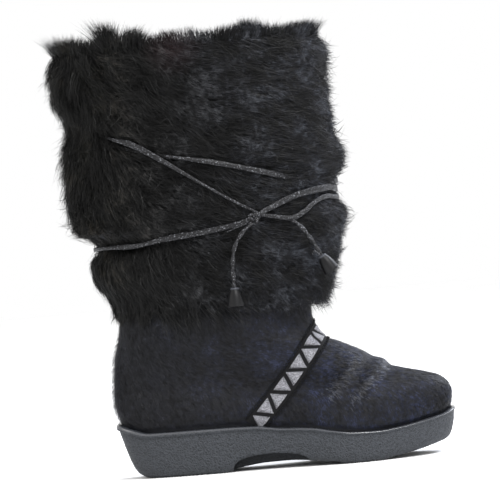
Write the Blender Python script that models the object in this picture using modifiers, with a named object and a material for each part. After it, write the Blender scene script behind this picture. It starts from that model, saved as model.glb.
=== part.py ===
"""A right winter boot with a long-haired fur shaft, wound with a flat leather lace.

Metres, +Z up, the toe toward +X and the outer side toward -Y. The floor is z = 0, and the
origin is on the floor under the middle of the boot, from the fur behind the calf to the toe.
"""
import math

import bmesh
import bpy
from mathutils import Matrix, Vector

# Driving sizes of the sole
SOLE_LENGTH = 0.2695
BALL_WIDTH = 0.100
SIDE_HEIGHT = 0.036
HEEL_UNDERCUT = 0.0205
TOE_UNDERCUT = 0.0095
SIDE_LEAN = 0.0060
LIP_THICKNESS = 0.0036
CUP_DEPTH = 0.011
ARCH_CUT_LENGTH = 0.061
ARCH_CUT_HEIGHT = 0.0128
ARCH_CUT_DEPTH = 0.006
ARCH_CUT_PLACE = 0.447
ARCH_CUT_SQUARENESS = 0.6
TREAD_PITCH = 0.009
TREAD_GROOVE_WIDTH = 0.0028
TREAD_GROOVE_DEPTH = 0.0018
TREAD_EDGE = 0.011
TREAD_FIELDS = ((0.115, 0.245), (0.600, 0.940))

# Driving sizes of the foot part
UPPER_WALL = 0.0030
SEAM_HEIGHT = 0.140
ANKLE_WIDTH = 0.074
INSOLE_THICKNESS = 0.0040
BAND_WIDTH = 0.020
BAND_THICKNESS = 0.0016
BAND_GAP = 0.0004
BAND_LEAN = math.radians(49.5)

# Driving sizes of the fur shaft
BOOT_HEIGHT = 0.353
SHAFT_DEPTH = 0.226
SHAFT_WIDTH = 0.136
FUR_OVERHANG = 0.0325
LEG_DEPTH = 0.180
LEG_WIDTH = 0.096
LEG_PLACE = 0.499
HEM_CLEARANCE = 0.0014
COLLAR_DIP = 0.005
LOCK_LENGTH = 0.030
LOCK_WIDTH = 0.0125
LOCK_LIFT = 0.0038
LOCK_ROOT = 0.0038
LOCK_THICKNESS = 0.0080
FUR_WAVE = 0.0016

# Driving sizes of the lace
LACE_WIDTH = 0.0050
LACE_THICKNESS = 0.0018
PARTING = 0.0025
CORD_DIAMETER = 0.0035
KNOT_SIZE = 0.0160
KNOT_CORD = 0.0026
KNOT_POINTS = 30
KNOT_RISE = 0.7
TOGGLE_HEIGHT = 0.0145
TOGGLE_WIDTH = 0.0128

GAP = 0.0003
CUP_GAP = 0.0004
CUT_THROUGH = 0.010

# Points round a section of the foot and of the fur
FOOT_POINTS = 40
FUR_POINTS = 44

HEEL_X = (FUR_OVERHANG - SOLE_LENGTH) / 2
FUR_BACK_X = HEEL_X - FUR_OVERHANG

# The plan of the sole. Columns: share of the length from the heel, then the reach of the
# outer side and of the inner side from the middle line, in shares of the ball width.
SOLE_PLAN = (
    (0.00, 0.330, 0.330),
    (0.10, 0.350, 0.345),
    (0.22, 0.362, 0.350),
    (0.34, 0.362, 0.315),
    (0.46, 0.390, 0.290),
    (0.58, 0.455, 0.365),
    (0.68, 0.500, 0.470),
    (0.75, 0.490, 0.508),
    (0.84, 0.440, 0.510),
    (0.93, 0.370, 0.480),
    (1.00, 0.290, 0.430),
)
HEEL_ROUNDING = 0.40
TOE_ROUNDING = 0.45

# The side of the sole. Columns: share of the length, height of the lip and height of the
# tread, both in shares of the side height.
SIDE_LINES = (
    (0.000, 1.240, 0.020),
    (0.035, 1.130, 0.004),
    (0.095, 1.008, 0.000),
    (0.250, 1.005, 0.000),
    (0.320, 1.000, 0.090),
    (0.400, 0.985, 0.150),
    (0.480, 0.905, 0.158),
    (0.560, 0.845, 0.115),
    (0.640, 0.710, 0.035),
    (0.690, 0.640, 0.000),
    (0.765, 0.622, 0.000),
    (0.830, 0.665, 0.055),
    (0.911, 0.775, 0.150),
    (0.970, 0.890, 0.240),
    (1.000, 1.000, 0.290),
)

# The wall of the sole from tread to lip. Columns: share of the wall's height, then the
# insets at heel, toe and sides, in shares of the undercuts and of the lean.
WALL_ROWS = (
    (0.000, 1.00, 1.00, 1.00),
    (0.090, 0.70, 0.66, 0.55),
    (0.300, 0.46, 0.37, 0.38),
    (0.600, 0.25, 0.15, 0.26),
    (0.860, 0.09, 0.08, 0.17),
    (0.900, 0.00, 0.00, 0.00),
    (0.980, 0.00, 0.00, 0.00),
)

# Sections of the upper, from the lip of the sole to the seam with the fur.
# front, back: ends of the section, in shares of the sole length from the heel
# front_up, back_up: heights of those ends, in shares of the seam height
# lift: height over the lip for a section that follows it, in shares of the seam height
# plane: 0 follows the lip line, 1 lies in its own plane
# full: width in shares of the sole's width there; oval: share of the way to the ankle's oval
# toe, heel: roundness of the ends; tuck: 1 inside the lip, 0 out over it
UPPER_COLUMNS = (
    *("front", "back", "front_up", "back_up", "lift", "plane"),
    *("full", "oval", "toe", "heel", "tuck"),
)
UPPER_ROWS = (
    (1.000, 0.000, 0.260, 0.330, 0.015, 0.00, 1.000, 0.00, 0.45, 0.40, 1.0),
    (0.996, 0.005, 0.300, 0.360, 0.045, 0.00, 0.985, 0.00, 0.46, 0.40, 0.3),
    (0.989, 0.002, 0.352, 0.400, 0.095, 0.15, 0.975, 0.00, 0.48, 0.41, 0.0),
    (0.973, 0.001, 0.404, 0.443, 0.143, 0.40, 0.945, 0.00, 0.52, 0.42, 0.0),
    (0.942, 0.002, 0.455, 0.486, 0.190, 0.65, 0.900, 0.05, 0.56, 0.44, 0.0),
    (0.898, 0.003, 0.487, 0.536, 0.240, 0.85, 0.850, 0.12, 0.62, 0.46, 0.0),
    (0.842, 0.006, 0.522, 0.593, 0.300, 1.00, 0.800, 0.22, 0.68, 0.50, 0.0),
    (0.786, 0.008, 0.583, 0.643, 0.350, 1.00, 0.770, 0.35, 0.74, 0.55, 0.0),
    (0.727, 0.012, 0.639, 0.693, 0.400, 1.00, 0.750, 0.50, 0.80, 0.62, 0.0),
    (0.671, 0.019, 0.680, 0.743, 0.450, 1.00, 0.740, 0.65, 0.85, 0.70, 0.0),
    (0.632, 0.026, 0.714, 0.793, 0.500, 1.00, 0.730, 0.80, 0.90, 0.78, 0.0),
    (0.609, 0.032, 0.779, 0.850, 0.550, 1.00, 0.720, 0.92, 0.93, 0.86, 0.0),
    (0.601, 0.035, 0.871, 0.907, 0.600, 1.00, 0.720, 1.00, 0.95, 0.92, 0.0),
    (0.599, 0.032, 1.000, 1.000, 0.650, 1.00, 0.720, 1.00, 0.96, 0.95, 0.0),
)

# The middle of the braid's line: share of the sole length, share of the seam height
BAND_MIDDLE = (0.517, 0.489)

# The outside of the fur. Columns: share of the boot height, back and front of the section
# in shares of the shaft depth, half its width in shares of half the shaft width.
FUR_ROWS = (
    (0.346, 0.159, 0.885, 0.632),
    (0.368, 0.155, 0.925, 0.706),
    (0.391, 0.142, 0.949, 0.765),
    (0.414, 0.128, 0.958, 0.816),
    (0.439, 0.095, 0.971, 0.868),
    (0.470, 0.084, 0.982, 0.897),
    (0.524, 0.073, 1.004, 0.926),
    (0.572, 0.044, 1.020, 0.949),
    (0.629, 0.029, 1.018, 0.963),
    (0.686, 0.029, 1.022, 0.971),
    (0.742, 0.029, 1.000, 0.971),
    (0.807, 0.031, 0.991, 0.978),
    (0.864, 0.009, 0.987, 0.993),
    (0.921, 0.000, 1.002, 1.000),
    (0.963, 0.004, 0.978, 1.000),
    (0.989, 0.018, 0.958, 0.971),
    (1.000, 0.040, 0.929, 0.897),
)
FUR_LEVELS = 15

# Rows of locks. Columns: share of the boot height, locks round the shaft, then length and
# lift in shares of the driving ones.
LOCK_ROWS = (
    (0.395, 17, 0.85, 0.75),
    (0.455, 15, 1.00, 1.00),
    (0.560, 13, 1.10, 0.80),
    (0.700, 13, 1.10, 0.80),
    (0.850, 13, 1.10, 0.90),
    (0.935, 15, 0.95, 0.90),
)
# One lock from root to tip. Columns: share of its length, share of its full section.
LOCK_SECTIONS = ((0.00, 0.75), (0.35, 1.00), (0.75, 0.55))
LOCK_SIDES = 4
# Uneven spacing of the locks: shares of their spacing, of the boot height, of their length
LOCK_SCATTER = (0.18, 0.012, 0.25)

# How the hair falls: how far up the hem's hanging hair reaches, as a share of the boot
# height, the fall that all hair has, and the fall that back and hem add.
FALL_REACH = 0.16
FALL_ALWAYS = 0.25
FALL_ADDED = 0.90

# The inside of the leg. Columns: share of the way from the seam to the collar, share of
# the way from the ankle's oval to the calf's.
LEG_ROWS = ((0.00, 0.00), (0.18, 0.30), (0.40, 0.60), (0.65, 0.84), (1.00, 1.00))

# The lace in three lengths, each a little further out than the one before: a ring round
# the back of the heel, the length that passes under itself, and the one that crosses over.
# Columns: turn round the shaft (0 front, 0.5 back, 0.75 the outer side), share of the boot
# height, and depth pressed into the fur.
LOW_RING = (
    (0.8020, 0.5635, 0.0015),
    (0.7775, 0.5515, 0.0020),
    (0.7350, 0.5400, 0.0040),
    (0.6910, 0.5330, 0.0060),
    (0.6480, 0.5235, 0.0080),
    (0.5760, 0.5230, 0.0110),
    (0.5000, 0.5220, 0.0110),
    (0.4200, 0.5260, 0.0090),
    (0.3300, 0.5400, 0.0060),
    (0.2500, 0.5580, 0.0040),
    (0.1700, 0.5800, 0.0040),
    (0.0800, 0.6030, 0.0060),
    (0.0000, 0.6130, 0.0080),
    (-0.0360, 0.6140, 0.0080),
    (-0.0690, 0.6170, 0.0070),
    (-0.1340, 0.6070, 0.0025),
    (-0.1780, 0.5810, 0.0010),
)
UNDER_LENGTH = (
    (0.7250, 0.7090, 0.0028),
    (0.6960, 0.7215, 0.0032),
    (0.6340, 0.7500, 0.0060),
    (0.5600, 0.7790, 0.0090),
    (0.5000, 0.7830, 0.0090),
    (0.4200, 0.7730, 0.0080),
    (0.3300, 0.7360, 0.0050),
    (0.2500, 0.6900, 0.0030),
    (0.1700, 0.6430, 0.0030),
    (0.0800, 0.6060, 0.0060),
    (0.0000, 0.5950, 0.0080),
    (-0.0400, 0.5940, 0.0080),
    (-0.0750, 0.5970, 0.0070),
    (-0.1060, 0.5880, 0.0040),
    (-0.1300, 0.5680, 0.0015),
    (-0.1490, 0.5550, 0.0010),
    (-0.1725, 0.5620, 0.0010),
    (-0.1930, 0.5700, 0.0010),
)
OVER_LENGTH = (
    (0.8120, 0.5670, 0.0015),
    (0.7760, 0.6110, 0.0020),
    (0.7280, 0.6750, 0.0030),
    (0.6790, 0.7400, 0.0040),
    (0.6340, 0.7670, 0.0060),
    (0.5600, 0.7970, 0.0090),
    (0.5000, 0.8010, 0.0090),
    (0.4200, 0.7910, 0.0080),
    (0.3300, 0.7580, 0.0050),
    (0.2500, 0.7160, 0.0030),
    (0.1700, 0.6760, 0.0030),
    (0.0800, 0.6430, 0.0060),
    (0.0000, 0.6320, 0.0080),
    (-0.0640, 0.6290, 0.0080),
    (-0.0990, 0.6320, 0.0060),
    (-0.1600, 0.6530, 0.0035),
    (-0.2370, 0.6920, 0.0025),
    (-0.2900, 0.7155, 0.0028),
)
LACE_STEP = 0.0135
ROUND_STEP = 0.0009
PRESS_REACH = 0.011

# The outside of a toggle. Columns: half the width, then the height over the middle, in
# shares of half the toggle's width and height; the bore's ends follow the lace.
TOGGLE_OUTSIDE = (
    (0.50, 1.00),
    (0.56, 0.82),
    (0.72, 0.50),
    (0.88, 0.00),
    (0.97, -0.60),
    (1.00, -1.00),
    (0.80, -1.00),
    (0.62, -0.45),
)
TOGGLE_ROOF = -0.35

# The knot and the two hanging ends, points chosen by hand on the outer side
KNOT_CENTRE = Vector((0.0047, -0.0670, 0.1990))
REAR_END_ROUTE = (
    (0.0025, -0.0705, 0.1950),
    (-0.0050, -0.0722, 0.1885),
    (-0.0103, -0.0730, 0.1818),
    (-0.0135, -0.0716, 0.1745),
    (-0.0147, -0.0694, 0.1678),
    (-0.0155, -0.0674, 0.1618),
    (-0.0155, -0.0643, 0.1559),
    (-0.0155, -0.0640, 0.1500),
    (-0.0155, -0.0640, 0.1440),
    (-0.0155, -0.0640, 0.1385),
)
FRONT_END_ROUTE = (
    (0.0335, -0.0561, 0.1943),
    (0.0390, -0.0552, 0.1902),
    (0.0435, -0.0533, 0.1846),
    (0.0468, -0.0505, 0.1796),
    (0.0496, -0.0462, 0.1745),
    (0.0523, -0.0435, 0.1691),
    (0.0553, -0.0430, 0.1638),
    (0.0583, -0.0425, 0.1585),
)


def curve_value(rows, at, column):
    """The value of a table's column at a place, without overshoot between its rows."""
    keys = [row[0] for row in rows]
    values = [row[column] for row in rows]
    at = min(max(at, keys[0]), keys[-1])
    last = len(rows) - 1
    index = min(max(sum(key <= at for key in keys) - 1, 0), last - 1)
    slopes = [(values[i + 1] - values[i]) / (keys[i + 1] - keys[i]) for i in range(last)]

    def tangent(i):
        if i in (0, last):
            return slopes[min(i, last - 1)]
        before, after = slopes[i - 1], slopes[i]
        return 0.0 if before * after <= 0 else 2 * before * after / (before + after)

    span = keys[index + 1] - keys[index]
    t = (at - keys[index]) / span
    rise = values[index + 1] - values[index]
    start, end = tangent(index) * span, tangent(index + 1) * span
    return values[index] + t * start + t * t * (3 * rise - 2 * start - end) + t**3 * (start + end - 2 * rise)


def mix(first, second, share):
    return first + (second - first) * share


def smooth_route(points, step):
    """Points about a step apart on a smooth curve through the given points."""
    ends = [2 * points[0] - points[1], *points, 2 * points[-1] - points[-2]]
    route = []
    for before, start, end, after in zip(ends, ends[1:], ends[2:], ends[3:]):
        parts = max(1, round((end - start).length / step))
        for part in range(parts):
            t = part / parts
            bend = (before - 5 * start / 2 + 2 * end - after / 2) * t * t
            twist = (3 * start / 2 - before / 2 - 3 * end / 2 + after / 2) * t**3
            route.append(start + (end - before) / 2 * t + bend + twist)
    return [*route, points[-1]]


def add_object(collection, name, mesh_data):
    obj = bpy.data.objects.new(name, mesh_data)
    collection.objects.link(obj)
    return obj


def material(name, colour, roughness, metallic=0.0):
    made = bpy.data.materials.new(name)
    made.use_nodes = True
    shader = made.node_tree.nodes["Principled BSDF"]
    shader.inputs["Base Color"].default_value = (*colour, 1.0)
    shader.inputs["Roughness"].default_value = roughness
    shader.inputs["Metallic"].default_value = metallic
    return made


def finish(obj, finish_material, sharp_degrees=40):
    obj.data.materials.append(finish_material)
    if obj.type == "MESH":
        obj.data.shade_smooth()
        obj.data.set_sharp_from_angle(angle=math.radians(sharp_degrees))


def loft(name, rings, closed=False, floor_cap=False, top_cap=False, split=False):
    """A skin over rings with one number of points, each running front, inner side, back.

    With split, each quad is cut along one fixed diagonal, so that two skins from the same
    rings bend alike and one lies evenly over the other.
    """
    shape = bmesh.new()
    rows = [[shape.verts.new(point) for point in ring] for ring in rings]
    count = len(rows[0])
    pairs = list(zip(rows, rows[1:]))
    if closed:
        pairs.append((rows[-1], rows[0]))
    for lower, upper in pairs:
        for k in range(count):
            after = (k + 1) % count
            shape.faces.new((lower[k], lower[after], upper[after], upper[k]))
    if floor_cap:
        cap(shape, rows[0], flip=True)
    if top_cap:
        cap(shape, rows[-1], flip=False)
    if split:
        bmesh.ops.triangulate(shape, faces=shape.faces, quad_method="FIXED")
    data = bpy.data.meshes.new(name)
    shape.to_mesh(data)
    shape.free()
    return data


def cap(shape, row, flip):
    """Closes a ring with strips from its inner side straight across to its outer side."""
    count = len(row)
    half = count // 2
    for k in range(half):
        corners = [row[k], row[k + 1], row[(count - k - 1) % count], row[(count - k) % count]]
        corners = list(dict.fromkeys(corners))
        shape.faces.new(corners[::-1] if flip else corners)


def boolean(obj, other, operation, solver="EXACT"):
    change = obj.modifiers.new(f"{operation.lower()} {other.name}", "BOOLEAN")
    change.operation = operation
    change.solver = solver
    change.object = other


def guide(cutters, obj):
    """Moves a cutter or a guide to the cutters' collection, where it isn't built."""
    for collection in obj.users_collection:
        collection.objects.unlink(obj)
    cutters.objects.link(obj)
    obj.hide_render = True
    obj.display_type = "WIRE"
    return obj


def foot_angles():
    """Angles round a foot section, closer together at the toe and the heel."""
    half = FOOT_POINTS // 2
    crowd = 1.5

    def eased(t):
        return t**crowd / (t**crowd + (1 - t) ** crowd)

    first = [math.pi * eased(k / half) for k in range(half)]
    return first + [math.pi + angle for angle in first]


def lip_height(station):
    return SIDE_HEIGHT * curve_value(SIDE_LINES, station, 1)


def tread_height(station):
    return SIDE_HEIGHT * curve_value(SIDE_LINES, station, 2)


def sole_point(angle, side_inset, heel_inset, toe_inset):
    """A point of the sole's plan and its station along the sole."""
    station = (1 + math.cos(angle)) / 2
    x = HEEL_X + heel_inset + station * (SOLE_LENGTH - heel_inset - toe_inset)
    outer = BALL_WIDTH * curve_value(SOLE_PLAN, station, 1)
    inner = BALL_WIDTH * curve_value(SOLE_PLAN, station, 2)
    power = mix(HEEL_ROUNDING, TOE_ROUNDING, station)
    half = (outer + inner) / 2 - side_inset
    swing = math.copysign(abs(math.sin(angle)) ** power, math.sin(angle))
    return x, (inner - outer) / 2 + half * swing, station


def sole_ring(height_of, side_inset, heel_inset, toe_inset):
    ring = []
    for angle in foot_angles():
        x, y, station = sole_point(angle, side_inset, heel_inset, toe_inset)
        ring.append((x, y, height_of(station)))
    return ring


def even_ring(height_of, inset):
    return sole_ring(height_of, inset, inset, inset)


def cup_floor(station):
    return lip_height(station) - CUP_DEPTH


def make_outsole(parts, cutters):
    rings = []
    for share, heel, toe, side in WALL_ROWS:
        def height_of(station, share=share):
            return mix(tread_height(station), lip_height(station), share)

        rings.append(sole_ring(height_of, side * SIDE_LEAN, heel * HEEL_UNDERCUT, toe * TOE_UNDERCUT))
    rings.append(even_ring(lip_height, LIP_THICKNESS * 0.25))
    rings.append(even_ring(lip_height, LIP_THICKNESS))
    rings.append(even_ring(cup_floor, LIP_THICKNESS))
    sole = add_object(parts, "outsole", loft("outsole", rings, floor_cap=True, top_cap=True))
    boolean(sole, make_arch_cutter(cutters), "DIFFERENCE")
    boolean(sole, make_tread_cutter(cutters), "DIFFERENCE")
    finish(sole, material("moulded dark rubber", (0.055, 0.060, 0.066), 0.62))
    return sole


def make_arch_cutter(cutters):
    """What is hollowed from both sides under the arch, down to a core that stays."""
    middle = HEEL_X + ARCH_CUT_PLACE * SOLE_LENGTH
    half = ARCH_CUT_LENGTH / 2
    steps = 12
    outline = [(middle + half, -CUT_THROUGH), (middle - half, -CUT_THROUGH)]
    for step in range(steps + 1):
        angle = math.pi * (1 - step / steps)
        rise = ARCH_CUT_HEIGHT * math.sin(angle) ** ARCH_CUT_SQUARENESS
        outline.append((middle + half * math.cos(angle), rise))
    shape = bmesh.new()
    reach = BALL_WIDTH
    face = shape.faces.new([shape.verts.new((x, -reach, z)) for x, z in outline])
    pushed = bmesh.ops.extrude_face_region(shape, geom=[face])
    moved = [item for item in pushed["geom"] if isinstance(item, bmesh.types.BMVert)]
    bmesh.ops.translate(shape, verts=moved, vec=(0, 2 * reach, 0))
    bmesh.ops.recalc_face_normals(shape, faces=shape.faces)
    data = bpy.data.meshes.new("arch cut")
    shape.to_mesh(data)
    shape.free()
    cut = guide(cutters, add_object(cutters, "arch cut", data))

    inset = SIDE_LEAN + ARCH_CUT_DEPTH
    core_rings = [even_ring(lambda station: -2 * CUT_THROUGH, inset), even_ring(lip_height, inset)]
    core_mesh = loft("arch core", core_rings, floor_cap=True, top_cap=True)
    core = guide(cutters, add_object(cutters, "arch core", core_mesh))
    boolean(cut, core, "DIFFERENCE")
    return cut


def make_tread_cutter(cutters):
    """Bars across the heel and the ball that leave a rim round the edge of the tread."""
    shape = bmesh.new()
    for first, last in TREAD_FIELDS:
        count = int((last - first) * SOLE_LENGTH / TREAD_PITCH) + 1
        for k in range(count):
            station = first + k * TREAD_PITCH / SOLE_LENGTH
            outer = BALL_WIDTH * curve_value(SOLE_PLAN, station, 1) - SIDE_LEAN - TREAD_EDGE
            inner = BALL_WIDTH * curve_value(SOLE_PLAN, station, 2) - SIDE_LEAN - TREAD_EDGE
            top = tread_height(station) + TREAD_GROOVE_DEPTH
            centre = (HEEL_X + station * SOLE_LENGTH, (inner - outer) / 2, top - CUT_THROUGH / 2)
            scale = Matrix.Diagonal((TREAD_GROOVE_WIDTH, outer + inner, CUT_THROUGH, 1))
            bmesh.ops.create_cube(shape, size=1, matrix=Matrix.Translation(centre) @ scale)
    data = bpy.data.meshes.new("tread bars")
    shape.to_mesh(data)
    shape.free()
    return guide(cutters, add_object(cutters, "tread bars", data))


def upper_ring(row, grow=0.0):
    """A section of the upper's outer surface, as the table of sections gives it."""
    cell = dict(zip(UPPER_COLUMNS, row))
    inset = cell["tuck"] * (LIP_THICKNESS + CUP_GAP) - grow
    back = HEEL_X + cell["back"] * SOLE_LENGTH + inset
    front = HEEL_X + cell["front"] * SOLE_LENGTH - inset
    ring = []
    for angle in foot_angles():
        along = (1 + math.cos(angle)) / 2
        x = mix(back, front, along)
        station = (x - HEEL_X) / SOLE_LENGTH if cell["tuck"] < 1 else along
        outer = BALL_WIDTH * curve_value(SOLE_PLAN, station, 1) * cell["full"]
        inner = BALL_WIDTH * curve_value(SOLE_PLAN, station, 2) * cell["full"]
        outer = mix(outer, ANKLE_WIDTH / 2, cell["oval"]) - inset
        inner = mix(inner, ANKLE_WIDTH / 2, cell["oval"]) - inset
        power = mix(cell["heel"], cell["toe"], along)
        swing = math.copysign(abs(math.sin(angle)) ** power, math.sin(angle))
        following = lip_height(station) + cell["lift"] * SEAM_HEIGHT
        level = SEAM_HEIGHT * mix(cell["back_up"], cell["front_up"], along)
        z = mix(following, level, cell["plane"])
        ring.append((x, (inner - outer) / 2 + (inner + outer) / 2 * swing, z))
    return ring


def thicken(obj, thickness, outward):
    wall = obj.modifiers.new("wall", "SOLIDIFY")
    wall.thickness = thickness
    wall.offset = 1.0 if outward else -1.0
    wall.use_even_offset = True
    wall.use_rim = True


def make_upper(parts):
    def feather_height(station):
        return cup_floor(station) + GAP

    feather = even_ring(feather_height, LIP_THICKNESS + CUP_GAP)
    rings = [feather] + [upper_ring(row) for row in UPPER_ROWS]
    upper = add_object(parts, "upper", loft("upper", rings, split=True))
    thicken(upper, UPPER_WALL, outward=False)
    finish(upper, material("short black hair on hide", (0.010, 0.010, 0.012), 0.55))
    return upper


def make_insole(parts):
    inset = LIP_THICKNESS + CUP_GAP + UPPER_WALL + 3 * CUP_GAP

    def under(station):
        return cup_floor(station) + 2 * GAP

    def over(station):
        return under(station) + INSOLE_THICKNESS

    rings = [even_ring(under, inset), even_ring(over, inset)]
    insole = add_object(parts, "insole", loft("insole", rings, floor_cap=True, top_cap=True))
    finish(insole, material("felt footbed", (0.10, 0.09, 0.08), 0.9))
    return insole


def make_band(parts, cutters):
    """The braid lies on the upper between a skin just over it and a slanted slab."""
    rings = [upper_ring(row) for row in UPPER_ROWS]
    data = loft("braid_band", rings, split=True)
    pushed = [vertex.co + vertex.normal * BAND_GAP for vertex in data.vertices]
    for vertex, place in zip(data.vertices, pushed):
        vertex.co = place
    band = add_object(parts, "braid_band", data)
    thicken(band, BAND_THICKNESS, outward=True)

    shape = bmesh.new()
    along, height = BAND_MIDDLE
    centre = (HEEL_X + along * SOLE_LENGTH, 0, height * SEAM_HEIGHT)
    lean = Matrix.Rotation(-BAND_LEAN, 4, "Y")
    scale = Matrix.Diagonal((SEAM_HEIGHT * 1.5, BALL_WIDTH * 1.5, BAND_WIDTH, 1))
    bmesh.ops.create_cube(shape, size=1, matrix=Matrix.Translation(centre) @ lean @ scale)
    slab_mesh = bpy.data.meshes.new("band slab")
    shape.to_mesh(slab_mesh)
    shape.free()
    slab = guide(cutters, add_object(cutters, "band slab", slab_mesh))
    boolean(band, slab, "INTERSECT")
    finish(band, material("woven braid", (0.02, 0.02, 0.02), 0.7))
    return band


def fur_section(height_share):
    """Back, front and half width of the fur at a share of the boot's height."""
    back = FUR_BACK_X + SHAFT_DEPTH * curve_value(FUR_ROWS, height_share, 1)
    front = FUR_BACK_X + SHAFT_DEPTH * curve_value(FUR_ROWS, height_share, 2)
    return back, front, SHAFT_WIDTH / 2 * curve_value(FUR_ROWS, height_share, 3)


def fur_place(turn, height_share):
    """A point on the fur's plain outside and the direction straight out of it."""
    back, front, half = fur_section(height_share)
    angle = 2 * math.pi * turn
    reach = (front - back) / 2
    point = Vector(((back + front) / 2 + reach * math.cos(angle), half * math.sin(angle), 0))
    point.z = BOOT_HEIGHT * height_share
    outward = Vector((math.cos(angle) / reach, math.sin(angle) / half, 0)).normalized()
    return point, outward


def laces_at(turn):
    """Height and depth of each pass of the lace at a turn round the shaft."""
    passes = []
    for route in (LOW_RING, UNDER_LENGTH, OVER_LENGTH):
        for start, end in zip(route, route[1:]):
            for lap in (0, 1):
                place = turn - lap
                if end[0] <= place <= start[0]:
                    share = (start[0] - place) / (start[0] - end[0])
                    passes.append((BOOT_HEIGHT * mix(start[1], end[1], share), mix(start[2], end[2], share)))
    return passes


def pressed_depth(turn, height):
    """How far the laces press the fur in at a place."""
    depths = [depth * math.exp(-(((height - level) / PRESS_REACH) ** 2)) for level, depth in laces_at(turn)]
    return max(depths, default=0.0)


def near_lace(point):
    """Whether a point of a lock lies over the lace or close beside it."""
    back, front, half = fur_section(point.z / BOOT_HEIGHT)
    across = point.y / half
    along = (point.x - (back + front) / 2) / ((front - back) / 2)
    turn = math.atan2(across, along) / (2 * math.pi) % 1
    beside = LACE_WIDTH / 2 + LOCK_WIDTH / 2 + CUP_GAP
    return any(abs(point.z - level) < beside for level, _ in laces_at(turn))


def fur_outside(level):
    """A ring of the fur's outside, with its pressed bands and low locks."""
    ring = []
    for k in range(FUR_POINTS):
        turn = k / FUR_POINTS
        point, outward = fur_place(turn, level)
        wave = math.sin(7 * 2 * math.pi * turn + 31 * level) * math.sin(23 * level + 5 * math.pi * turn)
        ring.append(point + outward * (FUR_WAVE * wave - pressed_depth(turn, point.z)))
    return ring


def oval(back, front, half, z):
    """A level section of the leg, as full at its ends as the last section of the upper."""
    power = UPPER_ROWS[-1][UPPER_COLUMNS.index("heel")]
    ring = []
    for k in range(FUR_POINTS):
        angle = 2 * math.pi * k / FUR_POINTS
        swing = math.copysign(abs(math.sin(angle)) ** power, math.sin(angle))
        ring.append(Vector((mix(back, front, (1 + math.cos(angle)) / 2), half * swing, z)))
    return ring


def make_fur_shaft(parts, cutters):
    first, last = FUR_ROWS[0][0], FUR_ROWS[-1][0]
    outside = [fur_outside(mix(first, last, k / FUR_LEVELS)) for k in range(FUR_LEVELS + 1)]

    # The upper's top edge leans a little with its wall, so the ledge clears it by two gaps
    ledge = SEAM_HEIGHT + 2 * GAP
    ankle_back = HEEL_X + UPPER_ROWS[-1][1] * SOLE_LENGTH
    ankle_front = HEEL_X + UPPER_ROWS[-1][0] * SOLE_LENGTH
    calf_middle = FUR_BACK_X + SHAFT_DEPTH * LEG_PLACE
    inside = []
    for up, widening in reversed(LEG_ROWS):
        back = mix(ankle_back + UPPER_WALL, calf_middle - LEG_DEPTH / 2, widening)
        front = mix(ankle_front - UPPER_WALL, calf_middle + LEG_DEPTH / 2, widening)
        half = mix(ANKLE_WIDTH / 2 - UPPER_WALL, LEG_WIDTH / 2, widening)
        inside.append(oval(back, front, half, mix(ledge, BOOT_HEIGHT - COLLAR_DIP, up)))

    clear = HEM_CLEARANCE
    low = BOOT_HEIGHT * first
    hem_back = HEEL_X + UPPER_ROWS[-2][1] * SOLE_LENGTH - clear
    hem_front = HEEL_X + UPPER_ROWS[-2][0] * SOLE_LENGTH + clear
    half = ANKLE_WIDTH / 2 + clear
    socket = [
        oval(ankle_back - clear, ankle_front + clear, half, ledge),
        oval(hem_back - clear, hem_front + clear, half, low),
    ]
    fur = add_object(parts, "fur_shaft", loft("fur_shaft", [*outside, *inside, *socket], closed=True))
    boolean(fur, make_locks(cutters), "UNION", "MANIFOLD")
    for channel in lace_lengths(cutters, "lace channel", GAP, PARTING, CUT_THROUGH * 1.5):
        boolean(fur, guide(cutters, channel), "DIFFERENCE", "MANIFOLD")
    finish(fur, material("long black fur", (0.008, 0.008, 0.009), 0.6), sharp_degrees=60)
    return fur


def lock_flow(turn, height_share):
    """The way the hair lies: round the leg toward the front, and down at the back and hem."""
    _, outward = fur_place(turn, height_share)
    around = Vector((0, 0, 1)).cross(outward)
    if math.sin(2 * math.pi * turn) > 0:
        around = -around
    at_back = (1 - math.cos(2 * math.pi * turn)) / 2
    near_hem = max(0.0, 1 - (height_share - FUR_ROWS[0][0]) / FALL_REACH)
    fall = min(1.0, FALL_ALWAYS + FALL_ADDED * (at_back**3 + near_hem))
    return (around * (1 - fall) + Vector((0, 0, -fall))).normalized(), outward


def add_lock(shape, root, flow, outward, length, lift):
    """A flattened tapering lock, rooted in the fur and curling out toward its tip."""
    across = outward.cross(flow).normalized() * LOCK_WIDTH / 2
    thick = outward * LOCK_THICKNESS / 2
    rows = []
    for along, size in LOCK_SECTIONS:
        rise = mix(-LOCK_ROOT, lift, along**1.5)
        middle = root + flow * (length * along) + outward * rise
        row = []
        for k in range(LOCK_SIDES):
            angle = 2 * math.pi * k / LOCK_SIDES
            offset = across * math.cos(angle) + thick * math.sin(angle)
            row.append(shape.verts.new(middle + offset * size))
        rows.append(row)
    tip = shape.verts.new(root + flow * length + outward * lift)
    for lower, upper in zip(rows, rows[1:]):
        for k in range(LOCK_SIDES):
            after = (k + 1) % LOCK_SIDES
            shape.faces.new((lower[k], lower[after], upper[after], upper[k]))
    for k in range(LOCK_SIDES):
        shape.faces.new((rows[-1][k], rows[-1][(k + 1) % LOCK_SIDES], tip))
    shape.faces.new(rows[0][::-1])


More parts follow.
